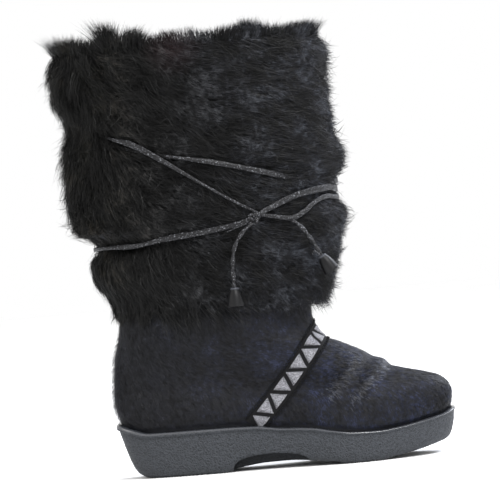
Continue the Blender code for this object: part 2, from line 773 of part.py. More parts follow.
def make_locks(cutters):
    """Locks all over the fur, save where the lace and its hanging ends lie."""
    shape = bmesh.new()
    aside, above, longer = LOCK_SCATTER
    for number, (height_share, count, length, lift) in enumerate(LOCK_ROWS):
        for k in range(count):
            turn = (k + 0.5 * (number % 2) + aside * math.sin(5 * k + number)) / count
            level = height_share + above * math.sin(3 * k + 2 * number)
            flow, outward = lock_flow(turn, level)
            root = fur_place(turn, level)[0]
            reach = LOCK_LENGTH * length * (1 + longer * math.sin(4 * k + 3 * number))
            along = [root + flow * (reach * share) for share in (-0.1, 0.25, 0.5, 0.75, 1.0)]
            if any(near_lace(point) or near_cord(point) for point in along):
                continue
            root = root - outward * pressed_depth(turn, root.z)
            add_lock(shape, root, flow, outward, reach, LOCK_LIFT * lift)
    data = bpy.data.meshes.new("locks")
    shape.to_mesh(data)
    shape.free()
    return guide(cutters, add_object(cutters, "locks", data))


def near_cord(place):
    """Whether a point of a lock comes close to a hanging end of the lace."""
    points = [Vector(point) for point in (*REAR_END_ROUTE, *FRONT_END_ROUTE)]
    return min((point - place).length for point in points) < LOCK_WIDTH * 1.5


def round_sections(route, closed, inward, outward_reach, side_reach, longer):
    """Sections of a length of lace, each square to its route and flat on the fur."""
    perimeter = math.pi * (SHAFT_DEPTH + SHAFT_WIDTH) / 2
    places = [Vector((turn * perimeter, level * BOOT_HEIGHT, depth)) for turn, level, depth in route]
    if closed:
        places.append(places[0] - Vector((perimeter, 0, 0)))
    steps = smooth_route(places, LACE_STEP)
    if closed:
        steps.pop()
    spots = []
    for step in steps:
        point, normal = fur_place(step.x / perimeter, step.y / BOOT_HEIGHT)
        spots.append((point - normal * step.z, normal))
    if not closed:
        for end, inner in ((0, 1), (-1, -2)):
            point, normal = spots[end]
            spots[end] = (point + (point - spots[inner][0]).normalized() * longer, normal)
    rings = []
    last = len(spots) - 1
    for k, (point, normal) in enumerate(spots):
        before = spots[k - 1][0] if closed or k else point
        after = spots[(k + 1) % len(spots)][0] if closed or k < last else point
        side = normal.cross(after - before).normalized() * side_reach
        inner, outer = point + normal * inward, point + normal * outward_reach
        rings.append([inner - side, inner + side, outer + side, outer - side])
    return rings


def lace_lengths(collection, name, clearance, beside, outward_reach):
    """The three lengths of the lace, or of the channel that is cut for them."""
    made = []
    for number, route in enumerate((LOW_RING, UNDER_LENGTH, OVER_LENGTH)):
        closed = route is LOW_RING
        over = number * ROUND_STEP
        side_reach = LACE_WIDTH / 2 + beside
        reach = (over - clearance, over + outward_reach, side_reach, 2 * clearance)
        rings = round_sections(route, closed, *reach)
        ends = not closed
        data = loft(f"{name} {number}", rings, closed=closed, floor_cap=ends, top_cap=ends)
        made.append(add_object(collection, f"{name} {number}", data))
    return made


def make_laces(parts, cutters):
    wraps, under, over = lace_lengths(parts, "lace", 0.0, 0.0, LACE_THICKNESS)
    wraps.name = "lace_wraps"
    boolean(wraps, guide(cutters, under), "UNION", "MANIFOLD")
    boolean(wraps, guide(cutters, over), "UNION", "MANIFOLD")
    finish(wraps, leather("flat black lace"))
    return wraps


def leather(name):
    return material(name, (0.018, 0.018, 0.019), 0.45)


def cord_tube(collection, name, route):
    curve = bpy.data.curves.new(name, "CURVE")
    curve.dimensions = "3D"
    curve.bevel_depth = CORD_DIAMETER / 2
    curve.bevel_resolution = 2
    curve.use_fill_caps = True
    points = smooth_route([Vector(point) for point in route], CORD_DIAMETER * 2.2)
    spline = curve.splines.new("POLY")
    spline.points.add(len(points) - 1)
    for spot, point in zip(spline.points, points):
        spot.co = (*point, 1)
    return add_object(collection, name, curve)


def make_knot(parts):
    """The tie is a closed threefold knot of cord, lying flat on the crossing."""
    curve = bpy.data.curves.new("lace_knot", "CURVE")
    curve.dimensions = "3D"
    curve.bevel_depth = KNOT_CORD / 2
    curve.bevel_resolution = 1
    spline = curve.splines.new("POLY")
    spline.points.add(KNOT_POINTS - 1)
    spread = (KNOT_SIZE - KNOT_CORD) / 6
    for k, spot in enumerate(spline.points):
        t = 2 * math.pi * k / KNOT_POINTS
        x = spread * (math.sin(t) + 2 * math.sin(2 * t))
        z = spread * (math.cos(t) - 2 * math.cos(2 * t))
        y = KNOT_CORD * KNOT_RISE * math.sin(3 * t)
        spot.co = (x, y, z, 1)
    spline.use_cyclic_u = True
    knot = add_object(parts, "lace_knot", curve)
    knot.location = KNOT_CENTRE
    finish(knot, leather("knotted lace"))
    return knot


def make_end(parts, name, route):
    end = cord_tube(parts, name, route)
    finish(end, leather(f"{name} leather"))
    return end


def make_toggle(parts, name, route):
    """A bell with a bore that the lace's end goes into from above."""
    bore = CORD_DIAMETER / 2 + GAP
    half = TOGGLE_HEIGHT / 2
    wide = TOGGLE_WIDTH / 2
    outside = [(wide * across, half * up) for across, up in TOGGLE_OUTSIDE]
    profile = [(bore, half), *outside, (bore, half * TOGGLE_ROOF)]
    data = bpy.data.meshes.new(name)
    edges = [(k, (k + 1) % len(profile)) for k in range(len(profile))]
    data.from_pydata([(x, 0, z) for x, z in profile], edges, [])
    toggle = add_object(parts, name, data)
    turn = toggle.modifiers.new("turned", "SCREW")
    turn.steps = 10
    turn.render_steps = 10
    turn.use_merge_vertices = True
    turn.merge_threshold = 0.00001
    tail = Vector(route[-1]) - Vector(route[-2])
    toggle.rotation_euler = (-tail).to_track_quat("Z", "Y").to_euler()
    toggle.location = Vector(route[-1])
    finish(toggle, material(f"{name} moulding", (0.03, 0.03, 0.03), 0.4))
    return toggle


def main():
    for obj in list(bpy.data.objects):
        bpy.data.objects.remove(obj)
    parts = bpy.data.collections.new("fur boot")
    cutters = bpy.data.collections.new("cutters")
    bpy.context.scene.collection.children.link(parts)
    bpy.context.scene.collection.children.link(cutters)
    make_outsole(parts, cutters)
    make_insole(parts)
    make_upper(parts)
    make_band(parts, cutters)
    make_fur_shaft(parts, cutters)
    make_laces(parts, cutters)
    make_knot(parts)
    make_end(parts, "lace_end_rear", REAR_END_ROUTE)
    make_end(parts, "lace_end_front", FRONT_END_ROUTE)
    make_toggle(parts, "toggle_rear", REAR_END_ROUTE)
    make_toggle(parts, "toggle_front", FRONT_END_ROUTE)


main()
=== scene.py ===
# %% [markdown]
# # A winter boot with a long-haired fur shaft
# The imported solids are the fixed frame. Everything that is seen is built round them here:
# the moulded sole, the short-haired foot, the braid, the fur in locks, and the leather lace.

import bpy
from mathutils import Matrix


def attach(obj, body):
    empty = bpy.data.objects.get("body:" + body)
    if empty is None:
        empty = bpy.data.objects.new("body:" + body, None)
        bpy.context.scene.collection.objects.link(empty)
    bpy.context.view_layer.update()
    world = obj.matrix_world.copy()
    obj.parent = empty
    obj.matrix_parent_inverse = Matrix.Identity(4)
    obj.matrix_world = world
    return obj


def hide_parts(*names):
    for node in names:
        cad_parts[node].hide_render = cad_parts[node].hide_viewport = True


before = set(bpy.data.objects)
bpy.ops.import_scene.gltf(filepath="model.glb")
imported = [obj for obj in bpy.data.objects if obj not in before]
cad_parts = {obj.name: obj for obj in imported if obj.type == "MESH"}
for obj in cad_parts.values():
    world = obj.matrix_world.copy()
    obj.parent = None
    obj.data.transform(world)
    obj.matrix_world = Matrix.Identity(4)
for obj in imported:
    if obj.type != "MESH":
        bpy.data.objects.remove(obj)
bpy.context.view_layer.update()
print("nodes:", ", ".join(sorted(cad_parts)))

# %% [markdown]
# ## Tools
# Fur is thousands of small strips, so points are kept in numpy arrays and handled all at once.
# bpy makes the objects, and bmesh is used for the one form that is extruded.

# %% Imports
import math

import bmesh
import bpy
import numpy as np
from mathutils import Matrix, Vector
from mathutils.bvhtree import BVHTree

rng = np.random.default_rng(7)

# %% [markdown]
# ## Sizes
# The boot's driving sizes are repeated from its CAD source, in metres. Tables hold shares of
# them, so one change of a size carries through every piece below.

# %% Driving sizes
SOLE_LENGTH = 0.2695
BALL_WIDTH = 0.100
SIDE_HEIGHT = 0.036
HEEL_UNDERCUT = 0.0205
TOE_UNDERCUT = 0.0095
SIDE_LEAN = 0.0060
LIP_THICKNESS = 0.0036
CUP_DEPTH = 0.011
ARCH_CUT_LENGTH = 0.061
ARCH_CUT_HEIGHT = 0.0128
ARCH_CUT_DEPTH = 0.006
ARCH_CUT_PLACE = 0.447
ARCH_CUT_SQUARENESS = 0.6
UPPER_WALL = 0.0030
SEAM_HEIGHT = 0.140
ANKLE_WIDTH = 0.074
BAND_LEAN = math.radians(49.5)
BOOT_HEIGHT = 0.353
SHAFT_DEPTH = 0.226
SHAFT_WIDTH = 0.136
FUR_OVERHANG = 0.0325
LEG_DEPTH = 0.180
LEG_WIDTH = 0.096
LACE_WIDTH = 0.0050
LACE_THICKNESS = 0.0018
CORD_DIAMETER = 0.0035
TOGGLE_HEIGHT = 0.0145
TOGGLE_WIDTH = 0.0128
GAP = 0.0003
HEEL_X = (FUR_OVERHANG - SOLE_LENGTH) / 2
FUR_BACK_X = HEEL_X - FUR_OVERHANG

# %% [markdown]
# The sole's plan, its side, its wall and the sections of the upper follow. Each row is a
# station or a section, and each column is named in the comment over its table.

# %% Tables of the foot
# share of the length, reach of the outer side, reach of the inner side
SOLE_PLAN = np.array((
    (0.00, 0.330, 0.330), (0.10, 0.350, 0.345), (0.22, 0.362, 0.350), (0.34, 0.362, 0.315),
    (0.46, 0.390, 0.290), (0.58, 0.455, 0.365), (0.68, 0.500, 0.470), (0.75, 0.490, 0.508),
    (0.84, 0.440, 0.510), (0.93, 0.370, 0.480), (1.00, 0.290, 0.430),
))
HEEL_ROUNDING = 0.40
TOE_ROUNDING = 0.45

# share of the length, height of the lip, height of the tread
SIDE_LINES = np.array((
    (0.000, 1.240, 0.020), (0.035, 1.130, 0.004), (0.095, 1.008, 0.000), (0.250, 1.005, 0.000),
    (0.320, 1.000, 0.090), (0.400, 0.985, 0.150), (0.480, 0.905, 0.158), (0.560, 0.865, 0.115),
    (0.640, 0.750, 0.035), (0.690, 0.692, 0.000), (0.765, 0.672, 0.000), (0.830, 0.710, 0.055),
    (0.911, 0.805, 0.150), (0.970, 0.895, 0.240), (1.000, 1.000, 0.290),
))

# share of the wall's height, inset at heel, at toe and at the sides
WALL_ROWS = (
    (0.000, 1.00, 1.00, 1.00), (0.045, 0.83, 0.80, 0.74), (0.090, 0.70, 0.66, 0.55),
    (0.180, 0.57, 0.50, 0.45), (0.300, 0.46, 0.37, 0.38), (0.450, 0.35, 0.25, 0.32),
    (0.600, 0.25, 0.15, 0.26), (0.750, 0.16, 0.11, 0.21), (0.850, 0.10, 0.08, 0.17),
    (0.880, 0.09, 0.07, 0.16), (0.892, 0.03, 0.03, 0.05), (0.910, -0.01, -0.01, -0.03),
    (0.945, -0.03, -0.03, -0.07), (0.980, -0.01, -0.01, -0.03),
)

# front and back of a section, their heights, lift over the lip, own plane, fullness, oval,
# roundness of toe and heel, tuck inside the lip
UPPER_ROWS = np.array((
    (1.000, 0.000, 0.260, 0.330, 0.015, 0.00, 1.000, 0.00, 0.45, 0.40, 1.0),
    (0.996, 0.005, 0.300, 0.360, 0.045, 0.00, 0.985, 0.00, 0.46, 0.40, 0.3),
    (0.994, 0.002, 0.352, 0.400, 0.095, 0.15, 0.975, 0.00, 0.48, 0.41, 0.0),
    (0.985, 0.001, 0.404, 0.443, 0.143, 0.40, 0.945, 0.00, 0.52, 0.42, 0.0),
    (0.962, 0.002, 0.442, 0.486, 0.190, 0.65, 0.900, 0.05, 0.56, 0.44, 0.0),
    (0.914, 0.003, 0.468, 0.536, 0.240, 0.85, 0.850, 0.12, 0.62, 0.46, 0.0),
    (0.846, 0.006, 0.500, 0.593, 0.300, 1.00, 0.800, 0.22, 0.68, 0.50, 0.0),
    (0.786, 0.008, 0.562, 0.643, 0.350, 1.00, 0.770, 0.35, 0.74, 0.55, 0.0),
    (0.727, 0.012, 0.628, 0.693, 0.400, 1.00, 0.750, 0.50, 0.80, 0.62, 0.0),
    (0.671, 0.019, 0.680, 0.743, 0.450, 1.00, 0.740, 0.65, 0.85, 0.70, 0.0),
    (0.632, 0.026, 0.714, 0.793, 0.500, 1.00, 0.730, 0.80, 0.90, 0.78, 0.0),
    (0.609, 0.032, 0.779, 0.850, 0.550, 1.00, 0.720, 0.92, 0.93, 0.86, 0.0),
    (0.601, 0.035, 0.871, 0.907, 0.600, 1.00, 0.720, 1.00, 0.95, 0.92, 0.0),
    (0.599, 0.032, 1.000, 1.000, 0.650, 1.00, 0.720, 1.00, 0.96, 0.95, 0.0),
))
BAND_MIDDLE = (0.517, 0.489)

# %% Tables of the shaft
# share of the boot's height, back and front of the fur, half its width
FUR_ROWS = np.array((
    (0.346, 0.159, 0.885, 0.632), (0.368, 0.155, 0.925, 0.706), (0.391, 0.142, 0.949, 0.765),
    (0.414, 0.128, 0.958, 0.816), (0.439, 0.095, 0.971, 0.868), (0.470, 0.084, 0.982, 0.897),
    (0.524, 0.073, 1.004, 0.926), (0.572, 0.044, 1.020, 0.949), (0.629, 0.029, 1.018, 0.963),
    (0.686, 0.029, 1.022, 0.971), (0.742, 0.029, 1.000, 0.971), (0.807, 0.031, 0.991, 0.978),
    (0.864, 0.009, 0.987, 0.993), (0.921, 0.000, 1.002, 1.000), (0.963, 0.004, 0.978, 1.000),
    (0.989, 0.018, 0.958, 0.971), (1.000, 0.040, 0.929, 0.897),
))

# turn round the shaft (0 front, 0.5 back, 0.75 outer side), share of height, depth in the fur
LOW_RING = np.array((
    (0.8020, 0.5635, 0.0015), (0.7775, 0.5515, 0.0020), (0.7350, 0.5400, 0.0040),
    (0.6910, 0.5330, 0.0060), (0.6480, 0.5235, 0.0080), (0.5760, 0.5230, 0.0110),
    (0.5000, 0.5220, 0.0110), (0.4200, 0.5260, 0.0090), (0.3300, 0.5400, 0.0060),
    (0.2500, 0.5580, 0.0040), (0.1700, 0.5800, 0.0040), (0.0800, 0.6030, 0.0060),
    (0.0000, 0.6130, 0.0080), (-0.0360, 0.6140, 0.0080), (-0.0690, 0.6170, 0.0070),
    (-0.1340, 0.6070, 0.0025), (-0.1780, 0.5810, 0.0010), (-0.1980, 0.5635, 0.0015),
))
UNDER_LENGTH = np.array((
    (0.7250, 0.7090, 0.0028), (0.6960, 0.7215, 0.0032), (0.6340, 0.7500, 0.0060),
    (0.5600, 0.7790, 0.0090), (0.5000, 0.7830, 0.0090), (0.4200, 0.7730, 0.0080),
    (0.3300, 0.7360, 0.0050), (0.2500, 0.6900, 0.0030), (0.1700, 0.6430, 0.0030),
    (0.0800, 0.6060, 0.0060), (0.0000, 0.5950, 0.0080), (-0.0400, 0.5940, 0.0080),
    (-0.0750, 0.5970, 0.0070), (-0.1060, 0.5880, 0.0040), (-0.1300, 0.5680, 0.0015),
    (-0.1490, 0.5550, 0.0010), (-0.1725, 0.5620, 0.0010), (-0.1930, 0.5700, 0.0010),
))
OVER_LENGTH = np.array((
    (0.8120, 0.5670, 0.0015), (0.7760, 0.6110, 0.0020), (0.7280, 0.6750, 0.0030),
    (0.6790, 0.7400, 0.0040), (0.6340, 0.7670, 0.0060), (0.5600, 0.7970, 0.0090),
    (0.5000, 0.8010, 0.0090), (0.4200, 0.7910, 0.0080), (0.3300, 0.7580, 0.0050),
    (0.2500, 0.7160, 0.0030), (0.1700, 0.6760, 0.0030), (0.0800, 0.6430, 0.0060),
    (0.0000, 0.6320, 0.0080), (-0.0640, 0.6290, 0.0080), (-0.0990, 0.6320, 0.0060),
    (-0.1600, 0.6530, 0.0035), (-0.2370, 0.6920, 0.0025), (-0.2900, 0.7155, 0.0028),
))

# %% [markdown]
# ## Reading the tables
# A smooth curve runs through a table's rows. It is the same curve as in the CAD source: its
# slope at a row is the harmonic mean of its neighbours, so it never overshoots a row.

# %% Curves through tables
def table_curve(rows, at, column):
    """A column of a table at one place or at an array of places."""
    keys, values = rows[:, 0], rows[:, column]
    at = np.clip(at, keys[0], keys[-1])
    slopes = np.diff(values) / np.diff(keys)
    before, after = slopes[:-1], slopes[1:]
    rising = before * after > 0
    total = np.where(rising, before + after, 1.0)
    middle = np.where(rising, 2 * before * after / total, 0.0)
    tangents = np.concatenate(([slopes[0]], middle, [slopes[-1]]))
    index = np.clip(np.searchsorted(keys, at, side="right") - 1, 0, len(keys) - 2)
    span = keys[index + 1] - keys[index]
    t = (at - keys[index]) / span
    rise = values[index + 1] - values[index]
    start, end = tangents[index] * span, tangents[index + 1] * span
    steady = values[index] + t * start
    return steady + t**2 * (3 * rise - 2 * start - end) + t**3 * (start + end - 2 * rise)


def mix(first, second, share):
    return first + (second - first) * share


def smooth_route(points, step):
    """Points about a step apart on a smooth curve through the given points."""
    points = [Vector(point) for point in points]
    ends = [2 * points[0] - points[1], *points, 2 * points[-1] - points[-2]]
    route = []
    for before, start, end, after in zip(ends, ends[1:], ends[2:], ends[3:]):
        parts = max(1, round((end - start).length / step))
        for part in range(parts):
            t = part / parts
            bend = (before - 5 * start / 2 + 2 * end - after / 2) * t * t
            twist = (3 * start / 2 - before / 2 - 3 * end / 2 + after / 2) * t**3
            route.append(start + (end - before) / 2 * t + bend + twist)
    return [*route, points[-1]]


# %% [markdown]
# ## Camera
# The photograph looks square on at the outer side from far away. The boot leans back by 4.7
# degrees in it, so the camera is rolled, by 5 where the outlines agree best, and the boot
# itself stands level. The Standard view keeps the sRGB colours below as they are written.

# %% Camera
CAMERA_ROLL = math.radians(5.0)
CAMERA_ELEVATION = math.radians(0.5)
CAMERA_DISTANCE = 2.8
FRAME_WIDTH = 0.3983
SENSOR_WIDTH = 0.036
FARTHEST_SEEN = 20
LOOKED_AT = Vector((-0.0008, 0.0, 0.1734))


def linked(name, data):
    """A new object in the scene that holds the data."""
    made = bpy.data.objects.new(name, data)
    bpy.context.scene.collection.objects.link(made)
    return made


def add_camera():
    data = bpy.data.cameras.new("camera")
    data.sensor_width = SENSOR_WIDTH * 1000
    data.lens = data.sensor_width * CAMERA_DISTANCE / FRAME_WIDTH
    data.clip_end = FARTHEST_SEEN
    camera = linked("camera", data)
    away = Vector((0, -math.cos(CAMERA_ELEVATION), math.sin(CAMERA_ELEVATION)))
    level_right = Vector((1, 0, 0))
    level_up = away.cross(level_right)
    right = level_right * math.cos(CAMERA_ROLL) - level_up * math.sin(CAMERA_ROLL)
    up = away.cross(right)
    turn = Matrix((right, up, away)).transposed().to_4x4()
    camera.matrix_world = Matrix.Translation(LOOKED_AT + away * CAMERA_DISTANCE) @ turn
    bpy.context.scene.camera = camera
    return camera


camera = add_camera()
bpy.context.scene.view_settings.view_transform = "Standard"
print("camera height over the floor:", round(camera.matrix_world.translation.z, 3))

# %% [markdown]
# ## Colours and materials
# Colours are written as sRGB hex values, the way a picker shows them, and one function turns
# them to the linear values that Blender mixes. One more function adds a node, sets it and
# links it, so a material reads from top to bottom like a recipe.

# %% Helpers for materials
def linear(hex_colour):
    """An sRGB hex colour as linear red, green, blue and alpha."""
    values = [int(hex_colour[k:k + 2], 16) / 255 for k in (1, 3, 5)]
    straight = [v / 12.92 if v <= 0.04045 else ((v + 0.055) / 1.055) ** 2.4 for v in values]
    return (*straight, 1.0)


def node(tree, kind, settings=(), **links):
    """Adds a node. Links and values are named after their sockets, with _ for a space, or i
    and a number. The stops of a colour ramp are pairs of a place and a hex colour."""
    made = tree.nodes.new(kind)
    settings = dict(settings)
    stops = settings.pop("stops", ())
    for name, value in settings.items():
        setattr(made, name, value)
    for k, (place, colour) in enumerate(stops):
        elements = made.color_ramp.elements
        element = elements[k] if k < len(elements) else elements.new(place)
        element.position = place
        element.color = linear(colour)
    for name, value in links.items():
        numbered = name[0] == "i" and name[1:].isdigit()
        socket = made.inputs[int(name[1:]) if numbered else name.replace("_", " ")]
        if isinstance(value, bpy.types.NodeSocket):
            tree.links.new(value, socket)
        else:
            socket.default_value = value
    return made


def new_material(name, roughness, **sockets):
    """A Principled material with constant values on its own sockets, and where it lies."""
    made = bpy.data.materials.new(name)
    made.use_nodes = True
    shader = made.node_tree.nodes["Principled BSDF"]
    shader.inputs["Roughness"].default_value = roughness
    for key, value in sockets.items():
        shader.inputs[key.replace("_", " ")].default_value = value
    place = node(made.node_tree, "ShaderNodeTexCoord").outputs["Object"]
    return made, made.node_tree, shader, place


def dress(tree, shader, tint, stops, relief, strength, depth):
    """Colours a material by stops over one pattern, and raises it by another in metres."""
    tone = node(tree, "ShaderNodeValToRGB", {"stops": stops}, Fac=tint)
    tree.links.new(tone.outputs["Color"], shader.inputs["Base Color"])
    bump = node(tree, "ShaderNodeBump", Height=relief, Strength=strength, Distance=depth)
    tree.links.new(bump.outputs["Normal"], shader.inputs["Normal"])


def grained(name, roughness, grain, stops, strength, depth, **sockets):
    """A material whose colour and relief both follow one noise."""
    made, tree, shader, place = new_material(name, roughness, **sockets)
    noise = node(tree, "ShaderNodeTexNoise", Vector=place, **grain).outputs["Fac"]
    dress(tree, shader, noise, stops, noise, strength, depth)
    print("material:", name)
    return made


def per_metre(millimetres):
    """The scale of a texture whose grains are this many millimetres across."""
    return 1000 / millimetres


# %% [markdown]
# ## The lace's leather
# The lace is a thong of split cowhide, dyed through and calendered, with a coarse grain. Small grey
# flecks are painted into its colour: painted glints, for light caught by the grain. Leather's IOR
# is about 1.5 and its finish half matt. The flecks are drawn 1.2 mm apart, coarser than real pores,
# so that they show at all.

# %% Dyed split leather
lace_leather = grained(
    "dyed split leather", 0.46, {"Scale": per_metre(1.2), "Detail": 4.0, "Roughness": 0.7},
    # the palest stop paints the flecks: painted glints
    ((0.44, "#08080a"), (0.57, "#1f1f22"), (0.66, "#808287")),
    strength=0.6, depth=0.0005, IOR=1.5, Specular_IOR_Level=0.25,
)

# %% [markdown]
# ## The hanging ends of the lace
# Two ends leave the tie and hang down the outer side. They are free cords, so they come
# right after the camera. Each is a thong twisted on itself: an oval section is swept along
# the route and turned as it goes, which a plain curve with a bevel can't do.

# %% Routes of the ends
REAR_END_ROUTE = (
    (0.0025, -0.0705, 0.1950), (-0.0050, -0.0722, 0.1885), (-0.0103, -0.0730, 0.1818),
    (-0.0135, -0.0716, 0.1745), (-0.0147, -0.0694, 0.1678), (-0.0155, -0.0674, 0.1618),
    (-0.0155, -0.0643, 0.1559), (-0.0155, -0.0640, 0.1500), (-0.0155, -0.0640, 0.1440),
    (-0.0155, -0.0640, 0.1385),
)
FRONT_END_ROUTE = (
    (0.0335, -0.0561, 0.1943), (0.0390, -0.0552, 0.1902), (0.0435, -0.0533, 0.1846),
    (0.0468, -0.0505, 0.1796), (0.0496, -0.0462, 0.1745), (0.0523, -0.0435, 0.1691),
    (0.0553, -0.0430, 0.1638), (0.0583, -0.0425, 0.1585),
)


# %% [markdown]
# Most pieces are skins over rings of points, so a few helpers turn rings into faces and
# sweep a section along a route. Each new piece rides on the boot's one body at once.

# %% Meshes from rings of points
def mesh_object(name, points, faces, *finishes):
    """A smooth mesh object from an array of points and a list of faces."""
    data = bpy.data.meshes.new(name)
    data.from_pydata([tuple(point) for point in points], [], faces)
    for finish in finishes:
        data.materials.append(finish)
    data.shade_smooth()
    data.update()
    made = linked(name, data)
    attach(made, "root")
    return made


def skin_faces(rings, count, closed=False):
    """Quads between rings of one number of points."""
    faces = []
    for row in range(rings if closed else rings - 1):
        low, high = row * count, (row + 1) % rings * count
        for k in range(count):
            after = (k + 1) % count
            faces.append((low + k, low + after, high + after, high + k))
    return faces


def ellipse(wide, thin, sides):
    """Points round an ellipse from its two half widths."""
    angles = [2 * math.pi * step / sides for step in range(sides)]
    return [(wide * math.cos(angle), thin * math.sin(angle)) for angle in angles]


def heading(route, k):
    """The direction of a route at one of its points."""
    return (route[min(k + 1, len(route) - 1)] - route[max(k - 1, 0)]).normalized()


def swept(name, route, section, finish, frames):
    """Sweeps a closed section along a route. frames gives side and up for each point."""
    points = []
    for k, (point, (side, up)) in enumerate(zip(route, frames)):
        points += [point + side * a + up * b for a, b in section(k)]
    count = len(section(0))
    last = (len(route) - 1) * count
    faces = skin_faces(len(route), count)
    faces += [tuple(range(count))[::-1], tuple(range(last, last + count))]
    return mesh_object(name, points, faces, finish)


def carried_frames(route, first_side):
    """Side and up vectors carried along a route without sudden turns."""
    frames = []
    side = Vector(first_side)
    for k in range(len(route)):
        along = heading(route, k)
        side = (side - along * side.dot(along)).normalized()
        frames.append((side, along.cross(side)))
    return frames


# %% The two ends
TWISTS_PER_METRE = 42
END_STEP = 0.0012
END_SIDES = 10
# half widths of the section, as shares of the cord's diameter
END_WIDE = 0.52
END_THIN = 0.34


def twisted_end(name, points, node_name):
    route = smooth_route(points, END_STEP)
    oval = ellipse(CORD_DIAMETER * END_WIDE, CORD_DIAMETER * END_THIN, END_SIDES)

    def section(k):
        turn = TWISTS_PER_METRE * 2 * math.pi * k * END_STEP
        c, s = math.cos(turn), math.sin(turn)
        return [(a * c - b * s, a * s + b * c) for a, b in oval]

    made = swept(name, route, section, lace_leather, carried_frames(route, (1, 0, 0)))
    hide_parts(node_name)
    return made, route


end_rear, rear_route = twisted_end("hanging_end_rear", REAR_END_ROUTE, "lace_end_rear")
end_front, front_route = twisted_end("hanging_end_front", FRONT_END_ROUTE, "lace_end_front")

# %% [markdown]
# ## The bell toggles
# A moulded bell of polyoxymethylene closes each end: matt black, with its top, where the thong goes
# in, painted paler as a painted highlight. It is a turned shape, so its profile is copied round in
# rings.

# %% Bell toggles
TOGGLE_PROFILE = (
    (0.29, 1.00), (0.42, 1.02), (0.52, 0.98), (0.55, 0.88), (0.56, 0.80), (0.62, 0.66),
    (0.70, 0.50), (0.78, 0.28), (0.85, 0.02), (0.91, -0.30), (0.955, -0.60), (0.985, -0.84),
    (1.00, -0.96), (0.97, -1.00), (0.86, -1.00), (0.80, -0.94), (0.70, -0.60), (0.55, -0.42),
    (0.29, -0.35),
)
TOGGLE_SIDES = 36
# heights over the bell's middle between which its top is painted paler, a painted highlight
HIGHLIGHT_FROM = 0.0045
HIGHLIGHT_TO = 0.0066


def moulded_acetal():
    made, tree, shader, place = new_material(
        "moulded acetal", 0.45, IOR=1.48, Specular_IOR_Level=0.25,
    )
    height = node(tree, "ShaderNodeSeparateXYZ", Vector=place).outputs["Z"]
    # the colour pales toward the top of the bell: a painted highlight
    up = node(tree, "ShaderNodeMapRange", Value=height, From_Min=HIGHLIGHT_FROM, From_Max=HIGHLIGHT_TO)
    scuff = node(tree, "ShaderNodeTexNoise", Vector=place, Scale=per_metre(1.5), Detail=3.0)
    stops = ((0.0, "#08080a"), (0.55, "#0f1013"), (1.0, "#3c3e44"))
    dress(tree, shader, up.outputs["Result"], stops, scuff.outputs["Fac"], 0.25, 0.0003)
    return made


toggle_finish = moulded_acetal()


def bell_toggle(name, points, node_name):
    corners = []
    for wide, high in TOGGLE_PROFILE:
        ring = ellipse(wide * TOGGLE_WIDTH / 2, wide * TOGGLE_WIDTH / 2, TOGGLE_SIDES)
        corners += [(x, y, high * TOGGLE_HEIGHT / 2) for x, y in ring]
    faces = skin_faces(len(TOGGLE_PROFILE), TOGGLE_SIDES, closed=True)
    made = mesh_object(name, corners, [face[::-1] for face in faces], toggle_finish)
    tail = Vector(points[-1]) - Vector(points[-2])
    made.rotation_euler = (-tail).to_track_quat("Z", "Y").to_euler()
    made.location = Vector(points[-1])
    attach(made, "root")
    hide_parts(node_name)
    return made


bell_rear = bell_toggle("bell_rear", REAR_END_ROUTE, "toggle_rear")
bell_front = bell_toggle("bell_front", FRONT_END_ROUTE, "toggle_front")

# %% [markdown]
# The length of each end, from the tie to the bell that closes it, is printed.

# %% Lengths of the ends
def route_length(route):
    return sum((after - before).length for before, after in zip(route, route[1:]))


for piece, route, bell in (
    (end_rear, rear_route, bell_rear), (end_front, front_route, bell_front),
):
    tuple(route[0])
    route_length(route)
    [tuple(point) for point in route]
    print(piece.name, "length in mm:", round(1000 * route_length(route), 1))

# %% [markdown]
# ## Floor and light
# A plain pale floor and three large soft lamps, as for a catalogue picture. Black fur needs
# broad lamps: each hair shows only what it mirrors, so a small lamp would leave it flat.

# %% Floor and lamps
FLOOR_REACH = 6.0
LIT_PLACE = Vector((0.0, 0.0, 0.17))
# name, place, width in metres, power in watts, colour
LAMPS = (
    ("key lamp", (0.9, -1.5, 1.9), 1.2, 62, "#ffffff"),
    ("left lamp", (-1.8, -1.1, 1.2), 1.4, 8, "#fffaf2"),
    ("rim lamp", (1.3, 0.9, 1.5), 1.0, 40, "#eef3ff"),
)


def pale_floor():
    made, tree, shader, place = new_material("pale studio floor", 0.9)
    cloud = node(tree, "ShaderNodeTexNoise", Vector=place, Scale=3.0, Detail=2.0)
    stops = ((0.3, "#fbfbfb"), (0.7, "#ffffff"))
    tone = node(tree, "ShaderNodeValToRGB", {"stops": stops}, Fac=cloud.outputs["Fac"])
    tree.links.new(tone.outputs["Color"], shader.inputs["Base Color"])
    return made


def add_stage():
    data = bpy.data.meshes.new("floor")
    turns = ((-1, -1), (1, -1), (1, 1), (-1, 1))
    corners = [(x * FLOOR_REACH, y * FLOOR_REACH, 0) for x, y in turns]
    data.from_pydata(corners, [], [(0, 1, 2, 3)])
    data.materials.append(pale_floor())
    linked("floor", data)


def add_lamp(name, place, size, power, colour):
    data = bpy.data.lights.new(name, "AREA")
    data.shape = "DISK"
    data.size = size
    data.energy = power
    data.color = linear(colour)[:3]
    lamp = linked(name, data)
    lamp.location = place
    lamp.rotation_euler = (LIT_PLACE - lamp.location).to_track_quat("-Z", "Y").to_euler()


add_stage()
for lamp in LAMPS:
    add_lamp(*lamp)
print("lamps:", ", ".join(lamp[0] for lamp in LAMPS))
world = bpy.data.worlds.new("studio")
bpy.context.scene.world = world
world.use_nodes = True
world.node_tree.nodes["Background"].inputs["Color"].default_value = linear("#ffffff")
world.node_tree.nodes["Background"].inputs["Strength"].default_value = 1.0

